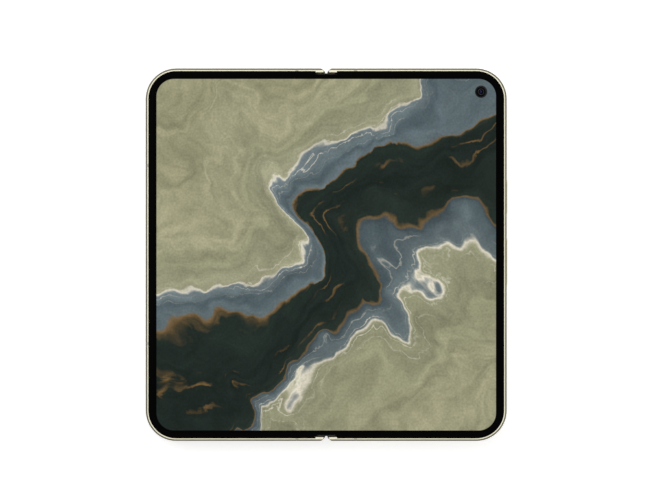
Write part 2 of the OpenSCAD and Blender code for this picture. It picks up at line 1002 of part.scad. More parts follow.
module left_screen() {
    color([0.35, 0.38, 0.33])
        across()
            lift(panel_b)
                linear_extrude(panel_t)
                    screen_outline(bend_w);
}

module left_bend() {
    color([0.35, 0.38, 0.33]) across() half_bend();
}

module cover_plate() {
    color([0.5, 0.5, 0.5]) across() half_plate();
}

module cover_antenna_breaks() {
    color([0.68, 0.66, 0.58])
        across()
            lift() {
                edge_breaks() wall_section();
                side_breaks() wall_section();
            }
}

module cover_arms() {
    color([0.62, 0.63, 0.65]) across() half_arms(mesh_angle + tooth_pitch / 2);
}

module cover_arm_screws() {
    color([0.35, 0.35, 0.36]) across() half_arm_screws();
}

module cover_wing_plate() {
    color([0.55, 0.56, 0.58]) across() half_wing();
}

module cover_flex() {
    color([0.45, 0.27, 0.08]) across() half_flex();
}

// Between the battery and the top speaker
module cover_board() {
    low_y = battery_low + battery_l + cover_board_rise;
    high_y = half_l - ledge_w - speaker_wall_gap - speaker_l - cover_board_gap;
    color([0.07, 0.22, 0.14])
        across()
            lift(board_b)
                translate([battery_x - battery_w / 2, low_y, 0])
                    cube([battery_w, high_y - low_y, board_t]);
}

module cover_battery() {
    color([0.16, 0.16, 0.17])
        across()
            lift(cover_bay_b + play)
                linear_extrude(web_b - cover_bay_b - 0.2)
                    translate([battery_x, battery_y])
                        rounded(battery_w, battery_l, 2);
}

module top_speaker() {
    color([0.13, 0.13, 0.14])
        across()
            lift(cover_bay_b)
                translate([speaker_x, half_l - ledge_w - speaker_wall_gap - speaker_l, 0])
                    cube([speaker_w, speaker_l, web_b - cover_bay_b - 0.15]);
}

module card_tray() {
    card_w = 8.8;
    card_l = 12.3;
    color([0.76, 0.74, 0.66])
        across()
            lift(tray_b)
                translate([tray_x, -half_l, 0])
                    difference() {
                        union() {
                            translate([0, tray_face_t / 2, 0])
                                along_y(tray_face_t) oblong(tray_face_l, tray_face_h);
                            translate([-tray_w / 2, tray_face_t - slit, -tray_t / 2])
                                cube([tray_w, tray_l, tray_t]);
                        }
                        translate([-tray_w / 2 + 1, tray_face_t + tray_l - 1.2 - card_l, -tray_t / 2 + 0.3])
                            cube([card_w, card_l, tray_t]);
                        translate([tray_w / 2 - 1.5, tray_face_t / 2, 0])
                            rotate([90, 0, 0])
                                cylinder(r = 0.45, h = tray_face_t + 1, center = true);
                    }
}

module card_socket() {
    cage_w = tray_w + 2 * key_gap;
    cage_t = tray_t + 2 * key_gap;
    cage_l = tray_l + tray_face_t - ledge_w + 1;
    color([0.7, 0.7, 0.72])
        across()
            lift(tray_b)
                translate([tray_x, -half_l + ledge_w + 0.1, 0])
                    difference() {
                        translate([-cage_w / 2 - cage_wall, 0, -cage_t / 2 - cage_wall])
                            cube([cage_w + 2 * cage_wall, cage_l, web_b - tray_b + cage_t / 2 + cage_wall]);
                        translate([-cage_w / 2, -1, -cage_t / 2])
                            cube([cage_w, cage_l + 1 - cage_wall, cage_t]);
                    }
}

module spine_section(radius) {
    translate([-axis_x, axis_b - radius]) square([2 * axis_x, radius]);
    for (side = [-1, 1])
        translate([side * axis_x, axis_b])
            intersection() {
                circle(radius);
                translate([-radius, -radius]) square([2 * radius, radius]);
            }
}

module spine_cover() {
    color([0.76, 0.73, 0.64])
        lift()
            along_y(2 * (spine_half - cap_t))
                difference() {
                    spine_section(spine_r);
                    spine_section(spine_r - spine_wall);
                    translate([-half_w, side_top_b]) square([open_w, body_t]);
                }
}

module spine_end_caps() {
    cap_x = axis_x + 2;
    color([0.08, 0.08, 0.08])
        lift()
            for (side = [-1, 1])
                translate([0, side * (spine_half - cap_t / 2), 0])
                    along_y(cap_t) {
                        spine_section(spine_r);
                        translate([-cap_x, axis_b - spine_r / 2])
                            square([2 * cap_x, screen_b - axis_b + spine_r / 2 - 0.1]);
                    }
}

// Lugs and base that carry both shafts and the idler gears of one module
module hinge_bracket(y) {
    base_x = axis_x + 1.4;
    lug_ys = [0, last_lug_y];
    translate([0, y - module_l / 2, 0])
        difference() {
            union() {
                translate([0, module_l / 2, 0])
                    along_y(module_l)
                        intersection() {
                            translate([-base_x, 0]) square([2 * base_x, bracket_top_b]);
                            spine_section(spine_r - spine_wall);
                        }
                for (lug = lug_ys)
                    translate([0, lug + lug_t / 2, 0])
                        along_y(lug_t) {
                            for (side = [-1, 1])
                                translate([side * axis_x, axis_b]) circle(barrel_r);
                            translate([-axis_x, bracket_top_b - slit])
                                square([2 * axis_x, axis_b - bracket_top_b]);
                        }
            }
            for (side = [-1, 1])
                translate([side * axis_x, -1, axis_b])
                    rotate([-90, 0, 0]) cylinder(r = shaft_r, h = module_l + 2);
            translate([-2 * pitch_r - 0.1, gear_y - play, bracket_floor_b - 1])
                cube([4 * pitch_r + 0.2, gear_w + 2 * play, body_t]);
            translate([-base_x - 1, gear_y - play, bracket_top_b - 0.2])
                cube([2 * base_x + 2, gear_w + 2 * play, body_t]);
            for (side = [-1, 1])
                translate([side * pitch_r, gear_y - pin_seat, idler_b])
                    rotate([-90, 0, 0]) cylinder(r = pin_r, h = gear_w + 2 * pin_seat);
        }
}

module hinge_brackets() {
    color([0.6, 0.6, 0.62])
        lift()
            for (y = module_ys)
                hinge_bracket(y);
}

module hinge_shafts() {
    color([0.75, 0.75, 0.77])
        lift()
            for (y = module_ys)
                for (side = [-1, 1])
                    translate([side * axis_x, y - module_l / 2, axis_b])
                        rotate([-90, 0, 0]) cylinder(r = shaft_r, h = module_l);
}

module spring_washers() {
    washers = 6;
    washer_step = washer_l / washers;
    color([0.45, 0.46, 0.48])
        lift()
            for (y = module_ys)
                for (side = [-1, 1])
                    for (i = [0 : washers - 1])
                        translate([side * axis_x, y - module_l / 2 + washer_y + i * washer_step, axis_b])
                            rotate([-90, 0, 0])
                                difference() {
                                    cylinder(r = barrel_r - play, h = 0.7 * washer_step);
                                    translate([0, 0, -1])
                                        cylinder(r = shaft_r + run_gap, h = washer_step + 2);
                                }
}

module idler_gears(side, phase) {
    lift()
        for (y = module_ys)
            translate([side * pitch_r, y - module_l / 2 + gear_y + gear_w / 2, idler_b])
                difference() {
                    along_y(gear_w) gear_outline(phase);
                    rotate([-90, 0, 0]) cylinder(r = pin_r + run_gap, h = gear_w + 1, center = true);
                }
}

module main_idler_gears() {
    color([0.8, 0.7, 0.4]) idler_gears(1, mesh_angle + 180 + tooth_pitch / 2);
}

module cover_idler_gears() {
    color([0.8, 0.7, 0.4]) idler_gears(-1, -mesh_angle);
}

module idler_pins() {
    color([0.75, 0.75, 0.77])
        lift()
            for (y = module_ys)
                for (side = [-1, 1])
                    translate([side * pitch_r, y - module_l / 2 + gear_y - pin_seat, idler_b])
                        rotate([-90, 0, 0]) cylinder(r = pin_r, h = gear_w + 2 * pin_seat);
}

// A slim bar between the modules, under the middle of the bend
module bend_support() {
    bar_x = 0.9;
    bar_l = module_pitch - module_l - 0.2;
    color([0.4, 0.4, 0.42])
        lift(bracket_floor_b)
            for (y = [-module_pitch / 2, module_pitch / 2])
                translate([-bar_x, y - bar_l / 2, 0])
                    difference() {
                        cube([2 * bar_x, bar_l, panel_b - 0.15 - bracket_floor_b]);
                        translate([-1, (bar_l - flex_slot_l) / 2, arm_b - bracket_floor_b - 0.15])
                            cube([2 * bar_x + 2, flex_slot_l, 0.5]);
                    }
}

main_frame();
back_glass();
camera_island();
camera_windows();
wide_camera();
wide_lens();
ultrawide_camera();
tele_camera();
tele_lens();
flash_lens();
inner_camera();
inner_camera_window();
main_trim();
main_screen();
main_bend();
main_plate();
main_antenna_breaks();
main_arms();
main_arm_screws();
main_wing_plate();
main_board();
shield_cans();
main_battery();
charging_coil();
usb_port();
bottom_speaker();
vibration_motor();
power_key();
volume_key();
key_switches();
main_magnets();
cover_frame();
cover_glass();
cover_screen();
cover_camera();
cover_trim();
left_screen();
left_bend();
cover_plate();
cover_antenna_breaks();
cover_arms();
cover_arm_screws();
cover_wing_plate();
cover_board();
cover_battery();
top_speaker();
cover_magnets();
card_tray();
card_socket();
spine_cover();
spine_end_caps();
hinge_brackets();
hinge_shafts();
spring_washers();
main_idler_gears();
cover_idler_gears();
idler_pins();
bend_support();
main_flex();
cover_flex();
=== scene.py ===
import math

import bmesh
import bpy
from mathutils import Matrix, Vector


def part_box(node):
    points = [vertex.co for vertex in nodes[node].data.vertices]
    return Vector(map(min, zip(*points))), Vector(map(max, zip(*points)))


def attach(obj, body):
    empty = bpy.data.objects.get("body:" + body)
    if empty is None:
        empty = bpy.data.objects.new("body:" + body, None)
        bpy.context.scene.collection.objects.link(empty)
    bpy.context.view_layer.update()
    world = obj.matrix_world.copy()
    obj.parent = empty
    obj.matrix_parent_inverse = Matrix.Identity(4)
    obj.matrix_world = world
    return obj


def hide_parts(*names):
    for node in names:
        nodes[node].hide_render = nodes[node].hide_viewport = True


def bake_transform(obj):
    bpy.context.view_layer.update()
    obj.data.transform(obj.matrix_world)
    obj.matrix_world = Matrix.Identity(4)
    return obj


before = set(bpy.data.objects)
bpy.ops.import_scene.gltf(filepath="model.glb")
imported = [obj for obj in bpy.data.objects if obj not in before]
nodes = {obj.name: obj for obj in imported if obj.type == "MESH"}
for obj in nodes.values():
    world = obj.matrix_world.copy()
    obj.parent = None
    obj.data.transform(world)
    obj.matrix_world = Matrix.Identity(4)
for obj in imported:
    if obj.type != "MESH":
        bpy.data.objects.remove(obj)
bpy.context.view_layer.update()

# Folding phone, open flat. Lengths in the dictionaries are millimetres, and mm turns them into scene units.
# Heights are counted from the table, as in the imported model.
mm = 0.001
frameLow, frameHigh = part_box("main_frame")
halfWidth = frameHigh.x / mm
halfLength = frameHigh.y / mm
lipZ = frameHigh.z / mm
backZ = frameLow.z / mm
edgeZ = backZ + 2.6  # height of the keys and of the openings in the edges
outerCorner = 12.7
cornerX, cornerY = halfWidth - outerCorner, halfLength - outerCorner
quarter = math.pi / 2
noTurn = Matrix.Identity(4)
downward = Matrix.Rotation(math.pi, 4, "X")
toFront = Matrix.Rotation(quarter, 4, "X")
toRight = Matrix.Rotation(quarter, 4, "Z") @ toFront


def middle(node):
    low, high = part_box(node)
    return (low + high) / 2 / mm


def at(x, y, z, turn=noTurn):
    return Matrix.Translation(Vector((x, y, z)) * mm) @ turn


# outlines are lists of (x, y) in mm, walked with the material on the left
def arc(cx, cy, radius, fromDeg, toDeg, steps):
    turns = [math.radians(fromDeg + (toDeg - fromDeg) * i / steps) for i in range(steps + 1)]
    return [(cx + radius * math.cos(turn), cy + radius * math.sin(turn)) for turn in turns]


def ring(cx, cy, radius, steps=64):
    return arc(cx, cy, radius, 0, 360, steps)[:-1]


def roundedBox(cx, cy, width, length, radius, steps=12):
    points = []
    for sx, sy, start in ((1, 1, 0), (-1, 1, 90), (-1, -1, 180), (1, -1, 270)):
        x = cx + sx * (width / 2 - radius)
        y = cy + sy * (length / 2 - radius)
        points += arc(x, y, radius, start, start + 90, steps)
    return points


def pill(cx, cy, length, width, steps=32):
    reach = (length - width) / 2
    right = arc(cx + reach, cy, width / 2, -90, 90, steps)
    left = arc(cx - reach, cy, width / 2, 90, 270, steps)
    return right + left


def hole(points):
    return points[::-1]


def halfOutline(inset, innerX, steps=24):
    # one half of the phone, from the line x = innerX outwards
    radius = outerCorner - inset
    points = [(innerX, -halfLength + inset)]
    points += arc(cornerX, -cornerY, radius, -90, 0, steps)
    points += arc(cornerX, cornerY, radius, 0, 90, steps)
    points.append((innerX, halfLength - inset))
    return points


def across(points):
    # the same outline on the other side of the fold
    return [(-x, y) for x, y in points][::-1]


def insetLoop(points, amount):
    # moves each point to the left of the walking direction, with mitred corners
    moved = []
    for i, point in enumerate(points):
        here = Vector(point)
        before = (here - Vector(points[i - 1])).normalized()
        after = (Vector(points[(i + 1) % len(points)]) - here).normalized()
        side = Vector((-before.y - after.y, before.x + after.x)).normalized()
        stretch = max(0.4, side.dot(Vector((-before.y, before.x))))
        moved.append(here + side * amount / stretch)
    return moved


# profiles of sheets are (inset, height) pairs, those of turned pieces (radius, height)
def evenTurns(steps):
    return [quarter * i / steps for i in range(steps + 1)]


def edgeCurve(radius, turns):
    # (inset, rise) pairs over a rounded edge, from the face to the side
    return [(radius * (1 - math.sin(turn)), radius * (1 - math.cos(turn))) for turn in turns]


def edgeRound(thick, radius, bottom=0.0, steps=4):
    # plate with both edges rounded
    curve = edgeCurve(radius, evenTurns(steps))
    lower = [(inset, bottom + rise) for inset, rise in curve]
    return lower + [(inset, bottom + thick - rise) for inset, rise in curve[::-1]]


def dome(radius, base, rise, steps):
    # face of a lens, from its rim at height base to its crown
    return [(radius * math.cos(turn), base + rise * math.sin(turn)) for turn in evenTurns(steps)]


def stepped(front, steps):
    # (radius, depth) pairs counted from the height front
    return [(radius, front + depth) for radius, depth in steps]


def addSheet(bm, loops, profile, place=noTurn, holeShare=1.0):
    # the profile runs from the bottom cap to the top cap; holes take holeShare of each inset
    walls = []
    for points in loops:
        share = holeShare if walls else 1.0
        rings = []
        for inset, height in profile:
            flat = insetLoop(points, inset * share) if inset else [Vector(p) for p in points]
            rings.append([bm.verts.new(place @ (Vector((p.x, p.y, height)) * mm)) for p in flat])
        for low, high in zip(rings, rings[1:]):
            for i in range(len(low)):
                j = (i + 1) % len(low)
                bm.faces.new((low[i], low[j], high[j], high[i]))
        walls.append(rings)
    for end in (0, -1):
        border = []
        for rings in walls:
            verts = rings[end]
            border += [bm.edges.get((verts[i], verts[(i + 1) % len(verts)])) for i in range(len(verts))]
        if len(loops) == 1:
            bm.faces.new(walls[0][end])
        else:
            bmesh.ops.triangle_fill(bm, use_beauty=True, use_dissolve=False, edges=border)
        for edge in border:
            edge.smooth = False


def addTurned(bm, profile, place, steps=48):
    # turned round the local Z axis of place; a profile that ends where it starts is closed
    closed = profile[0] == profile[-1]
    rows = []
    for radius, height in profile[:-1] if closed else profile:
        around = ring(0, 0, radius, steps) if radius > 1e-6 else [(0, 0)]
        rows.append([bm.verts.new(place @ (Vector((x, y, height)) * mm)) for x, y in around])
    if closed:
        rows.append(rows[0])
    for low, high in zip(rows, rows[1:]):
        for i in range(steps):
            j = (i + 1) % steps
            corners = [low[i % len(low)], low[j % len(low)], high[j % len(high)], high[i % len(high)]]
            face = list(dict.fromkeys(corners))
            if len(face) > 2:
                bm.faces.new(face)


def meshObject(name, bm, sharp=0):
    # edges steeper than sharp degrees stay crisp; without it the faces stay flat
    bmesh.ops.recalc_face_normals(bm, faces=bm.faces)
    if sharp:
        for edge in bm.edges:
            if len(edge.link_faces) == 2 and edge.calc_face_angle() > math.radians(sharp):
                edge.smooth = False
        for face in bm.faces:
            face.smooth = True
    mesh = bpy.data.meshes.new(name)
    bm.to_mesh(mesh)
    bm.free()
    made = bpy.data.objects.new(name, mesh)
    bpy.context.scene.collection.objects.link(made)
    return made


def makePiece(name, bm, material, rides, stands=(), sharp=32):
    piece = meshObject(name, bm, sharp)
    piece.data.materials.append(material)
    if rides:
        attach(piece, rides)
    if stands:
        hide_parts(*stands)
    return piece


def turnedPiece(name, profile, spot, material, rides, stands=(), steps=48):
    bm = bmesh.new()
    addTurned(bm, profile, at(spot.x, spot.y, 0), steps)
    makePiece(name, bm, material, rides, stands)


print("helpers ready")


def tone(red, green, blue):
    # 0-255 screen colour to the renderer's linear colour
    shares = [level / 255 for level in (red, green, blue)]
    return tuple(s / 12.92 if s < 0.04045 else ((s + 0.055) / 1.055) ** 2.4 for s in shares) + (1.0,)


def addNode(tree, kind, sockets=None, **settings):
    node = tree.nodes.new("ShaderNode" + kind)
    for key, value in settings.items():
        setattr(node, key, value)
    for key, value in (sockets or {}).items():
        if isinstance(value, bpy.types.NodeSocket):
            tree.links.new(value, node.inputs[key])
        else:
            node.inputs[key].default_value = value
    return node


def calc(tree, operation, *values, clamp=False):
    node = addNode(tree, "Math", dict(enumerate(values)), operation=operation, use_clamp=clamp)
    return node.outputs[0]


def times(tree, first, second):
    return calc(tree, "MULTIPLY", first, second)


def ranged(tree, value, low, high, first=0.0, last=1.0):
    return addNode(tree, "MapRange", {0: value, 1: low, 2: high, 3: first, 4: last}).outputs[0]


def blendTone(tree, share, first, second):
    # each tone is a socket or a 0-255 colour
    first, second = [end if isinstance(end, bpy.types.NodeSocket) else tone(*end) for end in (first, second)]
    return addNode(tree, "Mix", {0: share, 6: first, 7: second}, data_type="RGBA").outputs[2]


def ramped(tree, value, stops):
    # stops are (position, 0-255 colour) pairs
    node = addNode(tree, "ValToRGB", {0: value})
    elements = node.color_ramp.elements
    while len(elements) < len(stops):
        elements.new(0.5)
    for element, (position, colour) in zip(elements, stops):
        element.position = position
        element.color = tone(*colour)
    return node.outputs[0]


def raised(tree, height, depth):
    sockets = {"Height": height, "Distance": depth * mm, "Strength": 1.0}
    return addNode(tree, "Bump", sockets).outputs[0]


def objectSpot(tree):
    return addNode(tree, "TexCoord").outputs["Object"]


def fineNoise(tree, perMm, stretch=(1, 1, 1), detail=3.0, distortion=0.0):
    scale = [perMm / mm * s for s in stretch]
    placed = addNode(tree, "Mapping", {"Vector": objectSpot(tree), "Scale": scale}).outputs[0]
    sockets = {"Vector": placed, "Scale": 1.0, "Detail": detail, "Distortion": distortion}
    return addNode(tree, "TexNoise", sockets).outputs[0]


def dots(tree, spot, perMm, randomness=1.0):
    # distance to the nearest of a field of dots
    sockets = {"Vector": spot, "Scale": perMm / mm, "Randomness": randomness}
    return addNode(tree, "TexVoronoi", sockets).outputs["Distance"]


def lengthOf(tree, x, y):
    squares = calc(tree, "ADD", times(tree, x, x), times(tree, y, y))
    return calc(tree, "SQRT", squares)


def roundedDistance(tree, x, y, halfWide, halfTall, corner):
    # signed distance to a rounded rectangle round the middle, negative inside it
    dx = calc(tree, "SUBTRACT", calc(tree, "ABSOLUTE", x), halfWide - corner)
    dy = calc(tree, "SUBTRACT", calc(tree, "ABSOLUTE", y), halfTall - corner)
    outside = lengthOf(tree, calc(tree, "MAXIMUM", dx, 0.0), calc(tree, "MAXIMUM", dy, 0.0))
    inside = calc(tree, "MINIMUM", calc(tree, "MAXIMUM", dx, dy), 0.0)
    return calc(tree, "SUBTRACT", calc(tree, "ADD", outside, inside), corner)


def newMaterial(name, **sockets):
    material = bpy.data.materials.new(name)
    material.use_nodes = True
    shader = material.node_tree.nodes["Principled BSDF"]
    for key, value in sockets.items():
        shader.inputs[key.replace("_", " ")].default_value = value
    return material, material.node_tree, shader


def feed(shader, **sources):
    for key, source in sources.items():
        shader.id_data.links.new(source, shader.inputs[key.replace("_", " ")])


grains = {"fineShare": 0.7, "smudgesPerMm": 0.06, "tones": (0.35, 0.65), "roughness": (0.3, 0.7)}


def finish(name, dark, light, grain, rough, bump=0.0, stretch=(1, 1, 1), **sockets):
    # two close tones over a fine grain, with slow smudges in the roughness
    material, tree, shader = newMaterial(name, **sockets)
    fine = fineNoise(tree, grain, stretch)
    smudges = fineNoise(tree, grains["smudgesPerMm"], detail=2.0)
    mixed = calc(tree, "ADD", times(tree, fine, grains["fineShare"]),
                 times(tree, smudges, 1 - grains["fineShare"]))
    feed(shader, Base_Color=ramped(tree, mixed, tuple(zip(grains["tones"], (dark, light)))),
         Roughness=ranged(tree, mixed, *grains["roughness"], *rough))
    if bump:
        feed(shader, Normal=raised(tree, fine, bump))
    return material


# heights and insets in mm of the painted shade on the rounded edge and of the painted highlight on the flat
# top, which is also rougher
rim = {"roundingFrom": 0.6, "roundingTo": 0.4, "lipFrom": 0.008, "lipTo": 0.002, "lipInset": 0.66,
       "lipBlur": 0.03, "lipRougher": 0.22}
# side tones, a darker painted shade for the rounded edge and a paler painted highlight for the flat top round
# the screen
aluminiumTones = {"dark": (146, 142, 123), "light": (154, 149, 130), "roundingShade": (106, 103, 89),
                  "lipHighlight": (242, 238, 214)}
antennaTones = {"dark": (166, 162, 144), "light": (174, 170, 152), "roundingShade": (116, 112, 106),
                "lipHighlight": (204, 200, 180)}


def rimFinish(name, tones, grain, rough, bump, **sockets):
    # satin sides in two close tones, painted shade darkening the rounded edge and a painted highlight paling
    # the flat top round the screen, which is also a little rougher
    material = finish(name, tones["dark"], tones["light"], grain, rough, bump, **sockets)
    tree = material.node_tree
    shader = tree.nodes["Principled BSDF"]
    side, sideRough = [shader.inputs[key].links[0].from_socket for key in ("Base Color", "Roughness")]
    inMm = addNode(tree, "Mapping", {"Vector": objectSpot(tree), "Scale": (1 / mm, 1 / mm, 1 / mm)})
    x, y, height = addNode(tree, "SeparateXYZ", {0: inMm.outputs[0]}).outputs
    roundingShadeShare = ranged(tree, height, lipZ - rim["roundingFrom"], lipZ - rim["roundingTo"])
    onTop = ranged(tree, height, lipZ - rim["lipFrom"], lipZ - rim["lipTo"])
    fromEdge = roundedDistance(tree, x, y, halfWidth, halfLength, outerCorner)
    inset, blur = rim["lipInset"], rim["lipBlur"]
    onLip = times(tree, onTop, ranged(tree, fromEdge, -inset - blur, -inset + blur, 1.0, 0.0))
    # painted shade over the rounded edge, then a painted highlight over the flat top
    rounded = blendTone(tree, roundingShadeShare, side, tones["roundingShade"])
    feed(shader, Base_Color=blendTone(tree, onLip, rounded, tones["lipHighlight"]),
         Roughness=calc(tree, "ADD", sideRough, times(tree, onLip, rim["lipRougher"])))
    return material


# values: dark and light tone, grain per mm, roughness range, height of the grain, its stretch
frameMetal = rimFinish("champagne aluminium", aluminiumTones, 9, (0.30, 0.38), 0.0006, Metallic=1.0)
antennaPlastic = rimFinish("antenna plastic", antennaTones, 6, (0.38, 0.5), 0.001)
keyMetal = finish("polished champagne key", (206, 198, 172), (216, 208, 184), 7, (0.22, 0.30), 0.0004,
                  (0.15, 1, 1), Metallic=1.0)
islandMetal = finish("island metal", (200, 194, 173), (210, 204, 184), 6, (0.20, 0.30), 0.0004, Metallic=1.0)
hingeMetal = finish("hinge steel", (168, 168, 170), (186, 186, 187), 5, (0.24, 0.36), 0.0006, (1, 0.1, 1),
                    Metallic=1.0)
spineMetal = finish("polished spine", (196, 189, 168), (208, 201, 181), 5, (0.10, 0.18), 0.0002, (1, 0.05, 1),
                    Metallic=1.0)
plateMetal = finish("plate steel", (140, 141, 143), (158, 159, 161), 3, (0.32, 0.44), 0.001, (1, 0.08, 1),
                    Metallic=1.0)
blackTrimFinish = finish("soft black trim", (2, 2, 2), (5, 5, 5), 8, (0.42, 0.55), 0.0008,
                         Specular_IOR_Level=0.02)
blackPlastic = finish("black moulded plastic", (20, 20, 21), (29, 29, 30), 5, (0.45, 0.6), 0.003)
lensBlack = finish("lens barrel black", (6, 6, 8), (11, 11, 13), 2.5, (0.3, 0.42), 0.0002,
                   Specular_IOR_Level=0.3)
shieldMetal = finish("tinned shield", (176, 177, 178), (196, 197, 198), 2.5, (0.3, 0.45), 0.002, Metallic=1.0)
gearBrass = finish("gear brass", (196, 158, 86), (212, 176, 104), 7, (0.26, 0.36), 0.0008, Metallic=1.0)
sealRubber = finish("brown seal", (62, 56, 44), (76, 69, 55), 6, (0.35, 0.5), 0.001)
print("plain finishes ready")


def backGlassFinish():
    # satin glass over a champagne film
    material, tree, shader = newMaterial("satin back glass", Metallic=0.35, Coat_Weight=0.35,
                                         Coat_Roughness=0.18)
    fine = fineNoise(tree, 14, detail=2.0)
    film = blendTone(tree, fineNoise(tree, 0.02, detail=1.0), (206, 200, 180), (216, 211, 193))
    specks = times(tree, fine, 0.10)
    feed(shader, Base_Color=blendTone(tree, specks, film, (244, 240, 226)),
         Roughness=ranged(tree, fine, 0.3, 0.7, 0.34, 0.44), Normal=raised(tree, fine, 0.0008))
    return material


def blackGlassFinish(name, level):
    # deep black glass with faint smears
    material, tree, shader = newMaterial(name, Specular_IOR_Level=level)
    smear = fineNoise(tree, 0.08, (1, 0.4, 1), detail=4.0, distortion=0.6)
    feed(shader, Base_Color=blendTone(tree, smear, (7, 7, 8), (12, 12, 13)),
         Roughness=ranged(tree, smear, 0.35, 0.7, 0.035, 0.075))
    return material


def clearGlassFinish():
    material, tree, shader = newMaterial("clear lens cover", Transmission_Weight=1.0, IOR=1.16)
    dust = fineNoise(tree, 1.5, detail=4.0)
    feed(shader, Base_Color=blendTone(tree, dust, (248, 250, 250), (255, 255, 255)),
         Roughness=ranged(tree, dust, 0.5, 0.8, 0.0, 0.03))
    return material


def coatedLensFinish(name, *colours):
    # dark pupil, then a coating whose colour turns towards the rim of each dome
    material, tree, shader = newMaterial(name, Specular_IOR_Level=0.25, Coat_Weight=0.1, Coat_Roughness=0.02)
    facing = addNode(tree, "TexCoord").outputs["Normal"]
    tilt = addNode(tree, "SeparateXYZ", {0: facing}).outputs[2]
    slant = calc(tree, "SUBTRACT", 1.0, calc(tree, "ABSOLUTE", tilt))
    cloud = fineNoise(tree, 0.9, detail=1.0)
    share = calc(tree, "ADD", times(tree, cloud, 0.12), times(tree, slant, 2.4), clamp=True)
    feed(shader, Base_Color=ramped(tree, share, tuple(zip((0.1, 0.35, 0.8), colours))),
         Roughness=ranged(tree, cloud, 0.3, 0.7, 0.02, 0.05))
    return material


def flashFinish():
    # pale yellow phosphor under a ribbed lens
    material, tree, shader = newMaterial("flash phosphor", Coat_Weight=1.0, Coat_Roughness=0.05)
    cells = dots(tree, objectSpot(tree), 1.6)
    feed(shader, Base_Color=blendTone(tree, cells, (238, 218, 128), (250, 240, 196)),
         Roughness=ranged(tree, cells, 0.0, 0.8, 0.25, 0.4))
    return material


def boardFinish():
    # solder mask with traces and pads
    material, tree, shader = newMaterial("circuit board", Coat_Weight=0.5, Coat_Roughness=0.2)
    spot = objectSpot(tree)
    traces = addNode(tree, "TexBrick", {"Vector": spot, "Scale": 0.45 / mm, "Mortar Size": 0.05,
                                        "Mortar Smooth": 0.1, "Color1": tone(16, 60, 42),
                                        "Color2": tone(13, 52, 37), "Mortar": tone(34, 96, 66)})
    isPad = calc(tree, "LESS_THAN", dots(tree, spot, 0.8, 0.7), 0.16)
    feed(shader, Base_Color=blendTone(tree, isPad, traces.outputs[0], (206, 178, 104)),
         Roughness=ranged(tree, isPad, 0.0, 1.0, 0.45, 0.28))
    return material


def batteryFinish():
    # black foil with soft wrinkles
    material, tree, shader = newMaterial("battery foil", Specular_IOR_Level=0.6)
    wrinkle = fineNoise(tree, 0.12, (1, 0.35, 1), detail=4.0, distortion=1.2)
    feed(shader, Base_Color=blendTone(tree, wrinkle, (26, 26, 28), (46, 46, 49)),
         Roughness=ranged(tree, wrinkle, 0.3, 0.7, 0.3, 0.46), Normal=raised(tree, wrinkle, 0.08))
    return material


def coilFinish():
    # flat-wound copper, one ring per turn of wire
    centre = middle("charging_coil")
    material, tree, shader = newMaterial("wound copper", Metallic=1.0)
    placed = addNode(tree, "Mapping", {"Vector": objectSpot(tree),
                                       "Location": (-centre.x * mm, -centre.y * mm, 0)})
    sockets = {"Vector": placed.outputs[0], "Scale": 0.32 / mm, "Detail": 0.0}
    turns = addNode(tree, "TexWave", sockets, wave_type="RINGS", rings_direction="Z").outputs["Fac"]
    feed(shader, Base_Color=blendTone(tree, turns, (112, 62, 34), (214, 134, 84)),
         Roughness=ranged(tree, turns, 0.0, 1.0, 0.42, 0.26), Normal=raised(tree, turns, 0.05))
    return material


def flexFinish():
    # amber film with copper tracks along X
    material, tree, shader = newMaterial("flexible circuit", Coat_Weight=0.6, Coat_Roughness=0.15)
    sockets = {"Vector": objectSpot(tree), "Scale": 0.5 / mm}
    tracks = addNode(tree, "TexWave", sockets, bands_direction="Y").outputs["Fac"]
    feed(shader, Base_Color=blendTone(tree, tracks, (112, 66, 22), (176, 108, 44)),
         Roughness=ranged(tree, tracks, 0.0, 1.0, 0.4, 0.3))
    return material


def meshGrilleFinish():
    # woven acoustic mesh behind the openings
    material, tree, shader = newMaterial("acoustic mesh", Metallic=0.6)
    isOpen = calc(tree, "LESS_THAN", dots(tree, objectSpot(tree), 6.5, 0.0), 0.32)
    feed(shader, Base_Color=blendTone(tree, isOpen, (58, 58, 60), (4, 4, 4)),
         Roughness=ranged(tree, isOpen, 0.0, 1.0, 0.4, 0.9))
    return material


# what the screen shows: a lit marbled picture, black round it and round the inner camera
picture = {"halfWide": 70.7, "halfTall": 73.2, "corner": 7.3, "edgeBlur": 0.06, "cameraX": halfWidth - 10.7,
           "cameraY": halfLength - 9.7, "cameraHole": 2.5, "holeBlur": 0.12, "glow": 1.0}
mapSpan = 160.0  # mm of the screen across one unit of the screen map
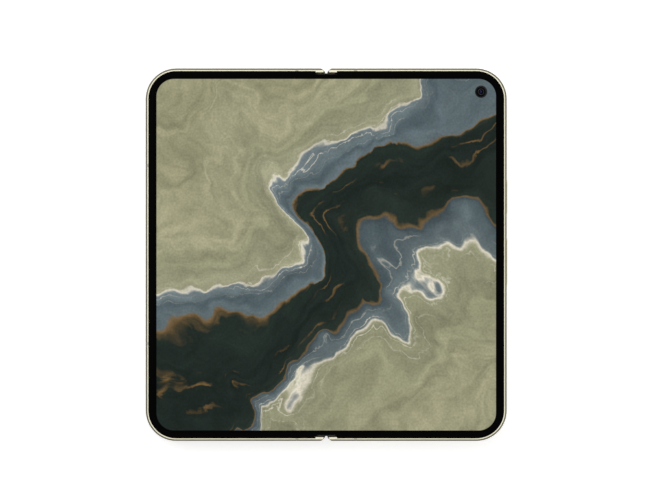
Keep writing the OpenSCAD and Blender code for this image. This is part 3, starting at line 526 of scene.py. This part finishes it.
# bends are (waves per mm, reach in mm, seed)
stone = {"swirl": (0.013, 96.0, 4.2), "ripple": (0.05, 15.0, 7.4), "ragged": (0.16, 2.6, 5.2),
         "slope": (0.0046, -0.0054, 0.0), "swellPerMm": 0.017, "swell": 0.62,
         "streaks": 26.0, "streakPerMm": 0.03, "streakContrast": (0.72, 1.28),
         "gilding": (126, 99, 60), "gildedBend": (0.5, 2.4, 9.0), "gildedLines": 15.0, "gildedWidth": 0.11,
         "gildedStrength": 0.85, "darkFrom": (0.46, 0.475), "darkTo": (0.68, 0.70),
         "lace": (218, 212, 194), "laceBend": (0.35, 4.0, 3.0), "laceLines": 34.0, "laceWidth": 0.07,
         "laceStrength": 0.8, "seams": (0.33, 0.777), "seamReach": (0.02, 0.07),
         "grainPerMm": 1.1, "grain": (0.86, 1.14), "mottlePerMm": 0.2, "mottle": (0.88, 1.12),
         "strata": ((0.0, (150, 148, 118)), (0.14, (160, 158, 128)), (0.26, (144, 145, 117)),
                    (0.325, (158, 157, 130)), (0.330, (222, 216, 198)), (0.338, (112, 124, 127)),
                    (0.40, (82, 96, 101)), (0.452, (98, 111, 115)), (0.458, (120, 95, 58)),
                    (0.466, (35, 45, 40)), (0.62, (30, 39, 35)), (0.700, (40, 50, 44)),
                    (0.706, (112, 90, 57)), (0.714, (66, 79, 84)), (0.772, (104, 116, 118)),
                    (0.777, (214, 208, 190)), (0.786, (140, 141, 114)), (1.0, (156, 154, 124)))}


def stoneNoise(tree, vector, scale, detail=3.0, seed=0.0):
    sockets = {"Vector": vector, "Scale": scale, "Detail": detail, "W": seed}
    return addNode(tree, "TexNoise", sockets, noise_dimensions="4D").outputs


def vectorCalc(tree, operation, sockets):
    return addNode(tree, "VectorMath", sockets, operation=operation).outputs


def scaled(tree, vector, share):
    return vectorCalc(tree, "SCALE", {0: vector, "Scale": share})[0]


def bentBy(tree, vector, scale, reach, seed):
    colour = stoneNoise(tree, vector, scale, 4.0, seed)["Color"]
    centred = vectorCalc(tree, "SUBTRACT", {0: colour, 1: (0.5, 0.5, 0.5)})[0]
    return vectorCalc(tree, "ADD", {0: vector, 1: scaled(tree, centred, reach)})[0]


def strataDepth(tree, vector):
    # how deep a place lies in the strata, 0.5 on the slope through the middle
    slope = vectorCalc(tree, "DOT_PRODUCT", {0: vector, 1: stone["slope"]})["Value"]
    wave = calc(tree, "SUBTRACT", stoneNoise(tree, vector, stone["swellPerMm"], 2.0, 2.6)[0], 0.5)
    return calc(tree, "ADD", calc(tree, "ADD", slope, 0.5), times(tree, wave, stone["swell"]))


def veins(tree, vector, kind):
    # thin lines that follow the strata
    depth = strataDepth(tree, bentBy(tree, vector, *stone[kind + "Bend"]))
    folded = calc(tree, "PINGPONG", times(tree, depth, stone[kind + "Lines"]), 0.5)
    return ranged(tree, folded, 0.0, stone[kind + "Width"], 1.0, 0.0)


def marble(tree, spot, x, y):
    # strata bent by noise and streaked along their run, gilded in the dark stone, with pale lace by the seams
    bent = bentBy(tree, bentBy(tree, spot, *stone["swirl"]), *stone["ripple"])
    ragged = bentBy(tree, bent, *stone["ragged"])
    depth = strataDepth(tree, ragged)
    along = [times(tree, value, share) for value, share in
             ((depth, stone["streaks"]), (x, stone["streakPerMm"]), (y, stone["streakPerMm"]))]
    run = addNode(tree, "CombineXYZ", dict(enumerate(along))).outputs[0]
    streak = ranged(tree, stoneNoise(tree, run, 1.0, 5.0)[0], 0.25, 0.75, *stone["streakContrast"])
    streaked = scaled(tree, ramped(tree, depth, stone["strata"]), streak)

    patch = stoneNoise(tree, bent, 0.05, 4.0, 1.0)[0]
    inDark = times(tree, ranged(tree, depth, *stone["darkFrom"]),
                   ranged(tree, depth, *stone["darkTo"], 1.0, 0.0))
    gilding = times(tree, times(tree, veins(tree, ragged, "gilded"), ranged(tree, patch, 0.5, 0.62)),
                    times(tree, inDark, stone["gildedStrength"]))
    gilded = blendTone(tree, gilding, streaked, stone["gilding"])
    fromSeams = [calc(tree, "ABSOLUTE", calc(tree, "SUBTRACT", depth, seam)) for seam in stone["seams"]]
    bySeam = ranged(tree, calc(tree, "MINIMUM", *fromSeams), *stone["seamReach"], 1.0, 0.0)
    lace = times(tree, veins(tree, ragged, "lace"),
                 ranged(tree, patch, 0.42, 0.6, 0.0, stone["laceStrength"]))
    return blendTone(tree, times(tree, lace, bySeam), gilded, stone["lace"]), bent


def screenFinish():
    # the picture glows under black glass
    material, tree, shader = newMaterial("folding screen", Specular_IOR_Level=0.42, Roughness=0.05,
                                         Emission_Strength=picture["glow"])
    flat = addNode(tree, "UVMap", uv_map="screenMap")
    spot = addNode(tree, "Mapping", {"Vector": flat.outputs[0], "Scale": (mapSpan, mapSpan, 1),
                                     "Location": (-mapSpan / 2, -mapSpan / 2, 0)}).outputs[0]
    x, y = addNode(tree, "SeparateXYZ", {0: spot}).outputs[:2]

    fromEdge = roundedDistance(tree, x, y, picture["halfWide"], picture["halfTall"], picture["corner"])
    fromHole = lengthOf(tree, calc(tree, "SUBTRACT", x, picture["cameraX"]),
                        calc(tree, "SUBTRACT", y, picture["cameraY"]))
    lit = times(tree, ranged(tree, fromEdge, -picture["edgeBlur"], picture["edgeBlur"], 1.0, 0.0),
                ranged(tree, fromHole, picture["cameraHole"], picture["cameraHole"] + picture["holeBlur"]))

    veined, bent = marble(tree, spot, x, y)
    grain = stoneNoise(tree, spot, stone["grainPerMm"], 6.0)[0]
    mottle = stoneNoise(tree, bent, stone["mottlePerMm"], 5.0, 6.0)[0]
    shade = times(tree, ranged(tree, grain, 0.3, 0.7, *stone["grain"]),
                  ranged(tree, mottle, 0.3, 0.7, *stone["mottle"]))
    feed(shader, Emission_Color=scaled(tree, scaled(tree, veined, shade), lit),
         Base_Color=blendTone(tree, grain, (2, 2, 2), (5, 5, 5)))
    return material


backGlass = backGlassFinish()
blackGlass = blackGlassFinish("black cover glass", 0.4)
windowGlass = blackGlassFinish("black window glass", 0.28)
clearGlass = clearGlassFinish()
blueLens = coatedLensFinish("blue coated lens", (4, 6, 16), (22, 44, 120), (92, 40, 104))
violetLens = coatedLensFinish("violet coated lens", (30, 28, 92), (84, 76, 160), (60, 40, 120))
flashPhosphor = flashFinish()
circuitBoard = boardFinish()
batteryFoil = batteryFinish()
woundCopper = coilFinish()
flexFilm = flexFinish()
acousticMesh = meshGrilleFinish()
screenPicture = screenFinish()
print("special finishes ready")

nodeFinishes = {
    frameMetal: ("main_frame", "cover_frame", "card_tray"),
    antennaPlastic: ("main_antenna_breaks", "cover_antenna_breaks"),
    spineMetal: ("spine_cover",),
    hingeMetal: ("hinge_brackets", "hinge_shafts", "spring_washers", "idler_pins", "main_arms", "cover_arms",
                 "main_arm_screws", "cover_arm_screws"),
    plateMetal: ("main_plate", "cover_plate", "main_wing_plate", "cover_wing_plate", "bend_support",
                 "vibration_motor", "main_magnets", "cover_magnets"),
    gearBrass: ("main_idler_gears", "cover_idler_gears"),
    shieldMetal: ("shield_cans", "usb_port", "card_socket"),
    blackPlastic: ("bottom_speaker", "top_speaker"),
    lensBlack: ("wide_camera", "ultrawide_camera", "tele_camera", "inner_camera", "cover_camera", "wide_lens",
                "tele_lens"),
    circuitBoard: ("main_board", "cover_board"),
    batteryFoil: ("main_battery", "cover_battery"),
    woundCopper: ("charging_coil",),
    flexFilm: ("main_flex", "cover_flex", "key_switches"),
    blackTrimFinish: ("main_trim", "cover_trim", "spine_end_caps"),
    blackGlass: ("cover_glass", "cover_screen", "camera_windows", "inner_camera_window"),
    backGlass: ("back_glass",),
    islandMetal: ("camera_island",),
    keyMetal: ("power_key", "volume_key"),
    flashPhosphor: ("flash_lens",),
    screenPicture: ("main_screen", "main_bend", "left_screen", "left_bend"),
}
for material, names in nodeFinishes.items():
    for name in names:
        for entry in nodes[name].material_slots:
            entry.material = material
print("finishes on the CAD nodes:", sum(len(names) for names in nodeFinishes.values()))


# folding screen, in two halves that meet on the fold
screen = {"top": 8.0, "thick": 0.4, "inset": 2.5, "bend": 4.4, "crease": 0.04, "creaseHalf": 4.0,
          "fineStep": 0.1, "fineTo": 6.0, "cornerStep": 4, "cornerEnd": 89.2, "edge": 0.06, "edgeEase": 0.3}
screenCorner = outerCorner - screen["inset"]


def screenColumns():
    # distances from the fold: fine steps over the bend, then round the corner
    fineCount = round(screen["fineTo"] / screen["fineStep"])
    columns = [i * screen["fineStep"] for i in range(fineCount + 1)] + [cornerX]
    angles = [*range(screen["cornerStep"], 90, screen["cornerStep"]), screen["cornerEnd"]]
    return columns + [cornerX + screenCorner * math.sin(math.radians(angle)) for angle in angles]


def screenSection(x):
    # (y, z) pairs round the sheet at x from the fold
    reach, top, bottom = halfLength - screen["inset"], screen["top"], screen["top"] - screen["thick"]
    if x > cornerX:
        reach = cornerY + math.sqrt(max(0.0, screenCorner ** 2 - (x - cornerX) ** 2))
    if x < screen["creaseHalf"]:
        top -= screen["crease"] * (1 + math.cos(math.pi * x / screen["creaseHalf"])) / 2
    edge, ease = screen["edge"], screen["edge"] * screen["edgeEase"]
    half = [(reach - edge, top), (reach - ease, top - ease), (reach, top - edge), (reach, bottom)]
    return [(-y, z) for y, z in half[::-1]] + half


def cutThrough(piece, outline, low, high):
    # takes an upright hole out of the mesh of a piece
    cutter = bmesh.new()
    addSheet(cutter, [outline], [(0, low), (0, high)])
    cutObject = meshObject("cut", cutter)
    modifier = piece.modifiers.new("cameraHole", "BOOLEAN")
    modifier.object = cutObject
    modifier.solver = "EXACT"
    evaluated = piece.evaluated_get(bpy.context.evaluated_depsgraph_get())
    cutAway = bpy.data.meshes.new_from_object(evaluated)
    piece.modifiers.clear()
    oldMesh = piece.data
    piece.data = cutAway
    bpy.data.meshes.remove(oldMesh)
    bpy.data.objects.remove(cutObject)
    cutAway.name = piece.name


def makeScreenHalf(name, side, stands):
    bm = bmesh.new()
    rows = [[bm.verts.new(Vector((side * x, y, z)) * mm) for y, z in screenSection(x)]
            for x in screenColumns()]
    for near, far in zip(rows, rows[1:]):
        for i in range(len(near)):
            j = (i + 1) % len(near)
            bm.faces.new((near[i], near[j], far[j], far[i]))
    bm.faces.new(rows[0])
    bm.faces.new(rows[-1])
    bm.loops.layers.uv.new("screenMap")
    piece = makePiece(name, bm, screenPicture, None, stands, sharp=15)
    if side > 0:
        cutThrough(piece, ring(picture["cameraX"], picture["cameraY"], picture["cameraHole"]),
                   screen["top"] - screen["thick"] - 1, screen["top"] + 1)
    coords = piece.data.uv_layers["screenMap"].data
    for loop in piece.data.loops:
        place = piece.data.vertices[loop.vertex_index].co / mm
        coords[loop.index].uv = (place.x / mapSpan + 0.5, place.y / mapSpan + 0.5)
    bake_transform(piece)


makeScreenHalf("folding_screen_right", 1, ("main_screen", "main_bend"))
makeScreenHalf("folding_screen_left", -1, ("left_screen", "left_bend"))
print("folding screen made")

# black trim round the screen
trim = {"outer": 1.08, "inner": 3.08, "skirt": 2.4, "low": 7.5, "seat": 8.0, "seatGap": 0.005, "start": 4.4,
        "round": 0.09}


def makeTrim(name, shape, rides, stands):
    outer, inner, skirt = [halfOutline(trim[edge], trim["start"]) for edge in ("outer", "inner", "skirt")]
    crown = [(inset, lipZ - rise) for inset, rise in edgeCurve(trim["round"], evenTurns(4))[::-1]]
    bm = bmesh.new()
    addSheet(bm, [shape(outer + hole(inner))], [(0, trim["seat"])] + crown)
    addSheet(bm, [shape(outer + hole(skirt))], [(0, trim["low"]), (0, trim["seat"] - trim["seatGap"])])
    makePiece(name, bm, blackTrimFinish, rides, stands)


makeTrim("screen_trim_right", list, "main_half", ("main_trim",))
makeTrim("screen_trim_left", across, "cover_half", ("cover_trim",))
print("trims made")

# seals at the ends of the fold
seals = {"from": 0.5, "to": 3.75, "wide": 0.16, "tall": 0.07, "round": 0.03, "back": 2.22}


def makeSeals():
    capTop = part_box("spine_end_caps")[1].z / mm
    centre = (seals["to"] + seals["from"]) / 2
    bm = bmesh.new()
    for side in (-1, 1):
        for end in (-1, 1):
            bar = pill(side * centre, end * (halfLength - seals["back"]), seals["to"] - seals["from"],
                       seals["wide"], 6)
            addSheet(bm, [bar], edgeRound(seals["tall"] + seals["round"], seals["round"],
                                          capTop - seals["round"], 2))
    makePiece("fold_end_seals", bm, sealRubber, "spine")


makeSeals()

# side keys
keys = {"proud": 0.3, "height": 2.2, "round": 0.22, "stem": 1.25, "flange": 0.4, "flangeRound": 0.08,
        "flangeLonger": 1.0, "flangeTaller": 0.8, "nub": 0.6, "nubRound": 0.1, "nubDepth": 2.45}
powerKey = {"length": 14.1, "flangeGap": 0.05, "nubs": (0,)}
volumeKey = {"length": 19.5, "flangeGap": 0.25, "nubs": (-19.5 / 4, 19.5 / 4)}


def makeKey(name, node, rides, length, flangeGap, nubs):
    side = at(halfWidth, middle(node).y, edgeZ, toRight)
    behind = -keys["stem"] - flangeGap
    flangeBack = behind - keys["flange"]
    crown = [(keys["round"] * (1 - math.cos(a)), keys["proud"] - keys["round"] * (1 - math.sin(a)))
             for a in (0.0, 0.26, 0.52, 0.79, 1.05, 1.31, 1.5)]
    bm = bmesh.new()
    addSheet(bm, [pill(0, 0, length, keys["height"])], [(0, behind)] + crown, side)
    addSheet(bm, [pill(0, 0, length + keys["flangeLonger"], keys["height"] + keys["flangeTaller"])],
             edgeRound(keys["flange"], keys["flangeRound"], flangeBack), side)
    nub = [(0, -keys["nubDepth"]), (keys["nub"] - keys["nubRound"], -keys["nubDepth"]),
           (keys["nub"], -keys["nubDepth"] + keys["nubRound"]), (keys["nub"], flangeBack), (0, flangeBack)]
    for along in nubs:
        addTurned(bm, nub, side @ at(along, 0, 0), 24)
    makePiece(name, bm, keyMetal, rides, (node,))


makeKey("power_button_key", "power_key", "power_button", **powerKey)
makeKey("volume_rocker_key", "volume_key", "volume_rocker", **volumeKey)
print("keys made")

# glass backs of both halves
backs = {"rim": 1.15, "foldRim": 3.65, "thick": 0.6, "round": 0.28, "flatter": 0.6, "islandRoom": 0.05,
         "cameraHole": 1.95}
islandShape = (41, 36, 9)  # width, length and corner radius
islandAt = middle("camera_island")
coverCameraAt = middle("cover_camera")


def makeBack(name, shape, opening, material, rides, stands):
    curve = [(inset, backZ + rise * backs["flatter"])
             for inset, rise in edgeCurve(backs["round"], (0.0, 0.3, 0.6, 0.9, 1.2, 1.5))]
    bm = bmesh.new()
    addSheet(bm, [shape(halfOutline(backs["rim"], backs["foldRim"])), hole(opening)],
             curve + [(0, backZ + backs["thick"])])
    makePiece(name, bm, material, rides, stands)


islandHole = [size + sides * backs["islandRoom"] for size, sides in zip(islandShape, (2, 2, 1))]
makeBack("back_panel", list, roundedBox(islandAt.x, islandAt.y, *islandHole, 16), backGlass, "main_half",
         ("back_glass",))
makeBack("outer_glass", across, ring(coverCameraAt.x, coverCameraAt.y, backs["cameraHole"], 48), blackGlass,
         "cover_half", ("cover_glass",))
print("backs made")

# rear cameras
cameras = {"round": 0.9, "windowLong": 35, "windowWide": 12.6, "windowGap": 0.1, "windowLow": 0.1,
           "windowThick": 0.7, "windowRound": 0.12, "step": 0.6, "cover": 4.7, "flashCover": 2.3,
           "coverGap": 0.02, "coverRound": 0.06}
wideAt, teleAt = middle("wide_camera"), middle("tele_camera")
ultraAt = Vector((2 * islandAt.x - wideAt.x, wideAt.y, 0))
flashAt = Vector((2 * islandAt.x - teleAt.x, teleAt.y, 0))
# Y of each window, with the places and radii of the clear discs in it
windowRows = {wideAt.y: ((wideAt, cameras["cover"]), (ultraAt, cameras["cover"])),
              teleAt.y: ((teleAt, cameras["cover"]), (flashAt, cameras["flashCover"]))}


def windowOutline(y, smaller=0.0):
    return pill(islandAt.x, y, cameras["windowLong"] - smaller, cameras["windowWide"] - smaller)


def makeIsland():
    crown = edgeCurve(cameras["round"], (0.0, 0.1, 0.2, 0.35, 0.5, 0.7, 0.9, 1.1, 1.3, 1.5))
    outer = roundedBox(islandAt.x, islandAt.y, *islandShape, 16)
    bm = bmesh.new()
    addSheet(bm, [outer] + [hole(windowOutline(y)) for y in windowRows],
             crown + [(0, backZ + backs["thick"])], holeShare=0.2)
    # the shoulder that each window rests on
    for y in windowRows:
        addSheet(bm, [windowOutline(y), hole(windowOutline(y, 2 * cameras["step"]))],
                 [(0, cameras["windowLow"] + cameras["windowThick"]), (0, backZ)])
    makePiece("camera_plateau", bm, islandMetal, "main_half", ("camera_island",))


def makeWindows():
    low, thick = cameras["windowLow"], cameras["windowThick"]
    glass, clear = bmesh.new(), bmesh.new()
    for y, discs in windowRows.items():
        openings = [hole(ring(spot.x, spot.y, radius)) for spot, radius in discs]
        addSheet(glass, [windowOutline(y, cameras["windowGap"])] + openings,
                 edgeRound(thick, cameras["windowRound"], low, 3))
        for spot, radius in discs:
            addSheet(clear, [ring(spot.x, spot.y, radius - cameras["coverGap"])],
                     edgeRound(thick, cameras["coverRound"], low, 2))
    makePiece("window_glass", glass, windowGlass, "main_half", ("camera_windows",))
    makePiece("window_clear_discs", clear, clearGlass, "main_half")


# barrel with stepped baffle rings that lead in to the glass, as (radius, depth) pairs behind its front;
# the surround and the accent ring round it are (radius, height) pairs
lens = {"radius": 3.0, "ultraLong": 1.2, "glass": 1.68, "glassBack": 0.84, "glassEdge": 0.80, "bulge": 0.42,
        "baffles": ((0, 0.85), (1.7, 0.85), (1.75, 0.6), (1.95, 0.55), (2.0, 0.34), (2.25, 0.3), (2.3, 0.06),
                    (2.35, 0), (2.7, 0), (2.9, 0.08), (3.0, 0.25)),
        "surround": ((4.55, 0.84), (4.55, 0.98), (4.4, 1.02), (3.35, 1.16), (3.25, 1.2), (3.25, 1.3),
                     (4.55, 1.3), (4.55, 0.84)),
        "accent": ((4.62, 0.82), (4.62, 0.9), (4.5, 0.95), (4.36, 0.97), (4.36, 0.9), (4.5, 0.82),
                   (4.62, 0.82))}


def makeLens(name, spot, rides, front, back, stands=()):
    barrel = stepped(front, lens["baffles"]) + [(lens["radius"], back), (0, back)]
    turnedPiece(name + "_barrel", barrel, spot, lensBlack, rides, stands)
    element = stepped(front, ((0, lens["glassBack"]), (lens["glass"], lens["glassBack"])))
    element += dome(lens["glass"], front + lens["glassEdge"], -lens["bulge"], 8)
    turnedPiece(name + "_element", element, spot, blueLens, rides)
    turnedPiece(name + "_surround", lens["surround"], spot, lensBlack, "main_half")
    turnedPiece(name + "_accent_ring", lens["accent"], spot, islandMetal, "main_half")


makeIsland()
makeWindows()
lensFront, lensBack = [corner.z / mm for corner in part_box("wide_lens")]
makeLens("wide", wideAt, "wide_focus_lens", lensFront, lensBack, ("wide_lens",))
makeLens("tele", teleAt, "tele_focus_lens", lensFront, lensBack, ("tele_lens",))
makeLens("ultrawide", ultraAt, "main_half", lensFront, lensFront + lens["ultraLong"])

flash = {"crown": ((0, 0.92), (0.25, 0.9)), "ribs": 5, "firstRib": 0.35, "ribPitch": 0.32, "ribWide": 0.06,
         "ribFoot": 0.98, "ribTop": 0.86, "radius": 2.0, "shoulder": 1.1, "back": 2.6}


def makeFlash():
    profile = list(flash["crown"])
    for i in range(flash["ribs"]):
        rib = flash["firstRib"] + i * flash["ribPitch"]
        profile += [(rib, flash["ribFoot"]), (rib + flash["ribWide"], flash["ribTop"])]
    profile += [(flash["radius"] - 0.05, flash["ribFoot"]), (flash["radius"], flash["shoulder"]),
                (flash["radius"], flash["back"]), (0, flash["back"])]
    turnedPiece("flash_fresnel", profile, flashAt, flashPhosphor, "main_half",
                ("flash_lens",))


makeFlash()
print("rear cameras made")

# cameras above the inner and behind the outer screen
selfie = {"window": 2.44, "iris": 1.17, "irisWide": 0.16, "irisRound": 0.02, "lens": 0.42}
outerCamera = {"disc": 1.93, "discThick": 0.58, "discRound": 0.05, "lens": 0.6, "body": 5.0,
               "bodyCorner": 0.4, "bodyFrom": 0.52, "bodyRound": 0.1,
               "steps": ((0, 0.45), (0.62, 0.45), (0.7, 0.2), (1.0, 0.17), (1.05, 0.05), (1.5, 0.02),
                         (1.55, 0), (1.85, 0), (1.9, 0.06), (1.9, 0.7), (0, 0.7))}


def makeInnerCamera():
    spot = middle("inner_camera_window")
    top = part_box("inner_camera_window")[1].z / mm
    r = selfie["window"]
    cover = stepped(top, ((0, -0.4), (r, -0.4), (r, -0.05), (r - 0.02, -0.015), (r - 0.05, 0), (1.3, 0),
                          (1.28, -0.03), (1.06, -0.035), (1.04, -0.06), (0.46, -0.06), (0.44, -0.12),
                          (0, -0.12)))
    turnedPiece("inner_camera_cover", cover, spot, windowGlass, "main_half",
                ("inner_camera_window",), 64)
    ease = selfie["irisRound"]
    inner, outer = selfie["iris"] - selfie["irisWide"] / 2, selfie["iris"] + selfie["irisWide"] / 2
    iris = stepped(top, ((inner, -0.1), (outer, -0.1), (outer, -ease), (outer - ease, -ease / 2),
                         (inner + ease, -ease / 2), (inner, -ease), (inner, -0.1)))
    turnedPiece("inner_camera_iris", iris, spot, blackPlastic, "main_half")
    turnedPiece("inner_camera_lens", [(0, top - 0.14)] + dome(selfie["lens"], top - 0.13, 0.05, 6), spot,
                violetLens, "main_half", steps=32)


def makeOuterCamera():
    spot = coverCameraAt
    clear = bmesh.new()
    addSheet(clear, [ring(spot.x, spot.y, outerCamera["disc"], 48)],
             edgeRound(outerCamera["discThick"], outerCamera["discRound"], backZ, 2))
    makePiece("outer_camera_clear_disc", clear, clearGlass, "cover_half")
    front, back = [corner.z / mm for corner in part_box("cover_camera")]
    bodyFront = front + outerCamera["bodyFrom"]
    bm = bmesh.new()
    addTurned(bm, stepped(front, outerCamera["steps"]), at(spot.x, spot.y, 0))
    addSheet(bm, [roundedBox(spot.x, spot.y, outerCamera["body"], outerCamera["body"],
                             outerCamera["bodyCorner"], 4)],
             edgeRound(back - bodyFront, outerCamera["bodyRound"], bodyFront, 2))
    makePiece("outer_camera_body", bm, lensBlack, "cover_half", ("cover_camera",))
    face = [(0, front + 0.44)] + dome(outerCamera["lens"], front + 0.42, -0.24, 6)
    turnedPiece("outer_camera_lens", face, spot, violetLens, "cover_half", steps=32)


makeInnerCamera()
makeOuterCamera()
print("selfie cameras made")

# meshes behind the openings in the edges, and the contacts in the socket
portAt = middle("usb_port")
slots = {"count": 3, "firstX": 47.4, "pitch": 4.6, "wide": 3.16, "tall": 0.96, "setBack": 1.5, "thick": 0.15,
         "round": 0.03}
mics = {"mesh": 0.38, "setBack": 0.8, "thick": 0.12, "round": 0.02, "bottomX": portAt.x - 12, "topX": 26.4,
        "coverX": -53.6}
contacts = {"count": 12, "pitch": 0.5, "wide": 0.25, "long": 2.9, "powerLong": 3.4, "power": (0, 3, 8, 11),
            "setBack": 1.35, "rise": 0.35, "corner": 0.05, "thick": 0.05, "round": 0.02}


def makeEdgeMesh(name, rides, side, outline, places, values):
    # side is -1 for the bottom edge and 1 for the top edge
    bm = bmesh.new()
    for x in places:
        addSheet(bm, [outline], edgeRound(values["thick"], values["round"], 0, 2),
                 at(x, side * (halfLength - values["setBack"]), edgeZ, toFront))
    makePiece(name, bm, acousticMesh, rides)


def makeEdgeMeshes():
    slot = pill(0, 0, slots["wide"], slots["tall"])
    places = [slots["firstX"] + i * slots["pitch"] for i in range(slots["count"])]
    makeEdgeMesh("bottom_speaker_mesh", "main_half", -1, slot, places, slots)
    makeEdgeMesh("top_speaker_mesh", "cover_half", 1, slot, [-x for x in places], slots)
    dot = ring(0, 0, mics["mesh"], 24)
    makeEdgeMesh("bottom_mic_mesh", "main_half", -1, dot, [mics["bottomX"]], mics)
    makeEdgeMesh("top_mic_mesh", "main_half", 1, dot, [mics["topX"]], mics)
    makeEdgeMesh("cover_mic_mesh", "cover_half", -1, dot, [mics["coverX"]], mics)


def makeContacts():
    bm = bmesh.new()
    for face, turn in ((-1, downward), (1, noTurn)):
        for i in range(contacts["count"]):
            length = contacts["powerLong"] if i in contacts["power"] else contacts["long"]
            x = portAt.x + (i - (contacts["count"] - 1) / 2) * contacts["pitch"]
            y = -halfLength + contacts["setBack"] + length / 2
            addSheet(bm, [roundedBox(0, 0, contacts["wide"], length, contacts["corner"], 3)],
                     edgeRound(contacts["thick"], contacts["round"], 0.0, 2),
                     at(x, y, edgeZ + face * contacts["rise"], turn))
    makePiece("usb_contacts", bm, gearBrass, "main_half")


makeEdgeMeshes()
makeContacts()
print("edge openings made")

# studio
studio = {"floor": 1600.0, "floorThick": 4.0, "floorGrey": 0.86, "floorGlow": 0.55, "roomGrey": 0.52,
          "darkCone": 17.0, "darkLevel": 0.03, "keyWatts": 9.0, "fillWatts": 3.6, "backWatts": 3.0,
          "lampSize": 1700.0, "lampAway": 1600.0}


def makeFloor():
    bm = bmesh.new()
    reach, thick = studio["floor"], studio["floorThick"]
    addSheet(bm, [roundedBox(0, 0, reach, reach, reach / 8, 16)], edgeRound(thick, 1, -thick - 0.02, 2))
    floor = meshObject("floor", bm)
    grey = studio["floorGrey"]
    material, tree, shader = newMaterial("pale floor", Base_Color=(grey, grey, grey, 1), Roughness=0.9,
                                         Specular_IOR_Level=0.1)
    path = addNode(tree, "LightPath")
    seen = calc(tree, "MAXIMUM", path.outputs["Is Camera Ray"],
                calc(tree, "MAXIMUM", path.outputs["Is Glossy Ray"], path.outputs["Is Transmission Ray"]))
    strength = times(tree, seen, studio["floorGlow"])
    glow = addNode(tree, "Emission", {"Color": (1, 1, 1, 1), "Strength": strength})
    both = addNode(tree, "AddShader", {0: shader.outputs[0], 1: glow.outputs[0]})
    tree.links.new(both.outputs[0], tree.nodes["Material Output"].inputs["Surface"])
    floor.data.materials.append(material)


def makeWorld():
    # even grey room with a white backdrop, and a dark gap overhead where the camera stands
    world = bpy.data.worlds.new("studio")
    bpy.context.scene.world = world
    world.use_nodes = True
    tree = world.node_tree
    background = tree.nodes["Background"]
    path = addNode(tree, "LightPath")
    way = addNode(tree, "TexCoord").outputs["Generated"]
    up = addNode(tree, "SeparateXYZ", {0: way}).outputs[2]
    cone = math.cos(math.radians(studio["darkCone"]))
    shiny = calc(tree, "MAXIMUM", path.outputs["Is Glossy Ray"], path.outputs["Is Transmission Ray"])
    level = calc(tree, "ADD", times(tree, shiny, 1.0 - studio["roomGrey"]), studio["roomGrey"])
    level = times(tree, level, ranged(tree, up, cone - 0.02, cone, 1.0, studio["darkLevel"]))
    level = calc(tree, "MAXIMUM", level, path.outputs["Is Camera Ray"])
    tree.links.new(level, background.inputs["Strength"])
    background.inputs["Color"].default_value = (1, 1, 1, 1)


def makeLamp(name, watts, azimuth, elevation):
    lamp = bpy.data.lights.new(name, "AREA")
    lamp.energy = watts
    lamp.shape = "RECTANGLE"
    lamp.size = studio["lampSize"] * mm
    lamp.size_y = lamp.size * 0.6
    holder = bpy.data.objects.new(name, lamp)
    a, e = math.radians(azimuth), math.radians(elevation)
    way = Vector((math.cos(a) * math.cos(e), math.sin(a) * math.cos(e), math.sin(e)))
    holder.location = way * (studio["lampAway"] * mm)
    holder.rotation_euler = (-holder.location).to_track_quat("-Z", "Y").to_euler()
    bpy.context.scene.collection.objects.link(holder)


makeFloor()
makeWorld()
makeLamp("key lamp", studio["keyWatts"], 130, 44)
makeLamp("fill lamp", studio["fillWatts"], -20, 38)
makeLamp("back lamp", studio["backWatts"], 60, 40)
print("studio ready")

# camera straight above the screen
shot = {"lens": 200.0, "sensor": 36.0, "perPixel": 0.4165, "pixels": 652, "centreX": -0.1, "centreY": 4.04}


def makeCamera():
    camera = bpy.data.cameras.new("front view")
    camera.lens = shot["lens"]
    camera.sensor_width = shot["sensor"]
    camera.clip_start = 0.01
    camera.clip_end = 20
    holder = bpy.data.objects.new("front view", camera)
    distance = shot["lens"] / shot["sensor"] * shot["perPixel"] * shot["pixels"]
    holder.location = Vector((shot["centreX"], shot["centreY"], lipZ + distance)) * mm
    holder.rotation_euler = (0, 0, 0)
    bpy.context.scene.collection.objects.link(holder)
    bpy.context.scene.camera = holder


makeCamera()
bpy.context.scene.view_settings.view_transform = "Standard"
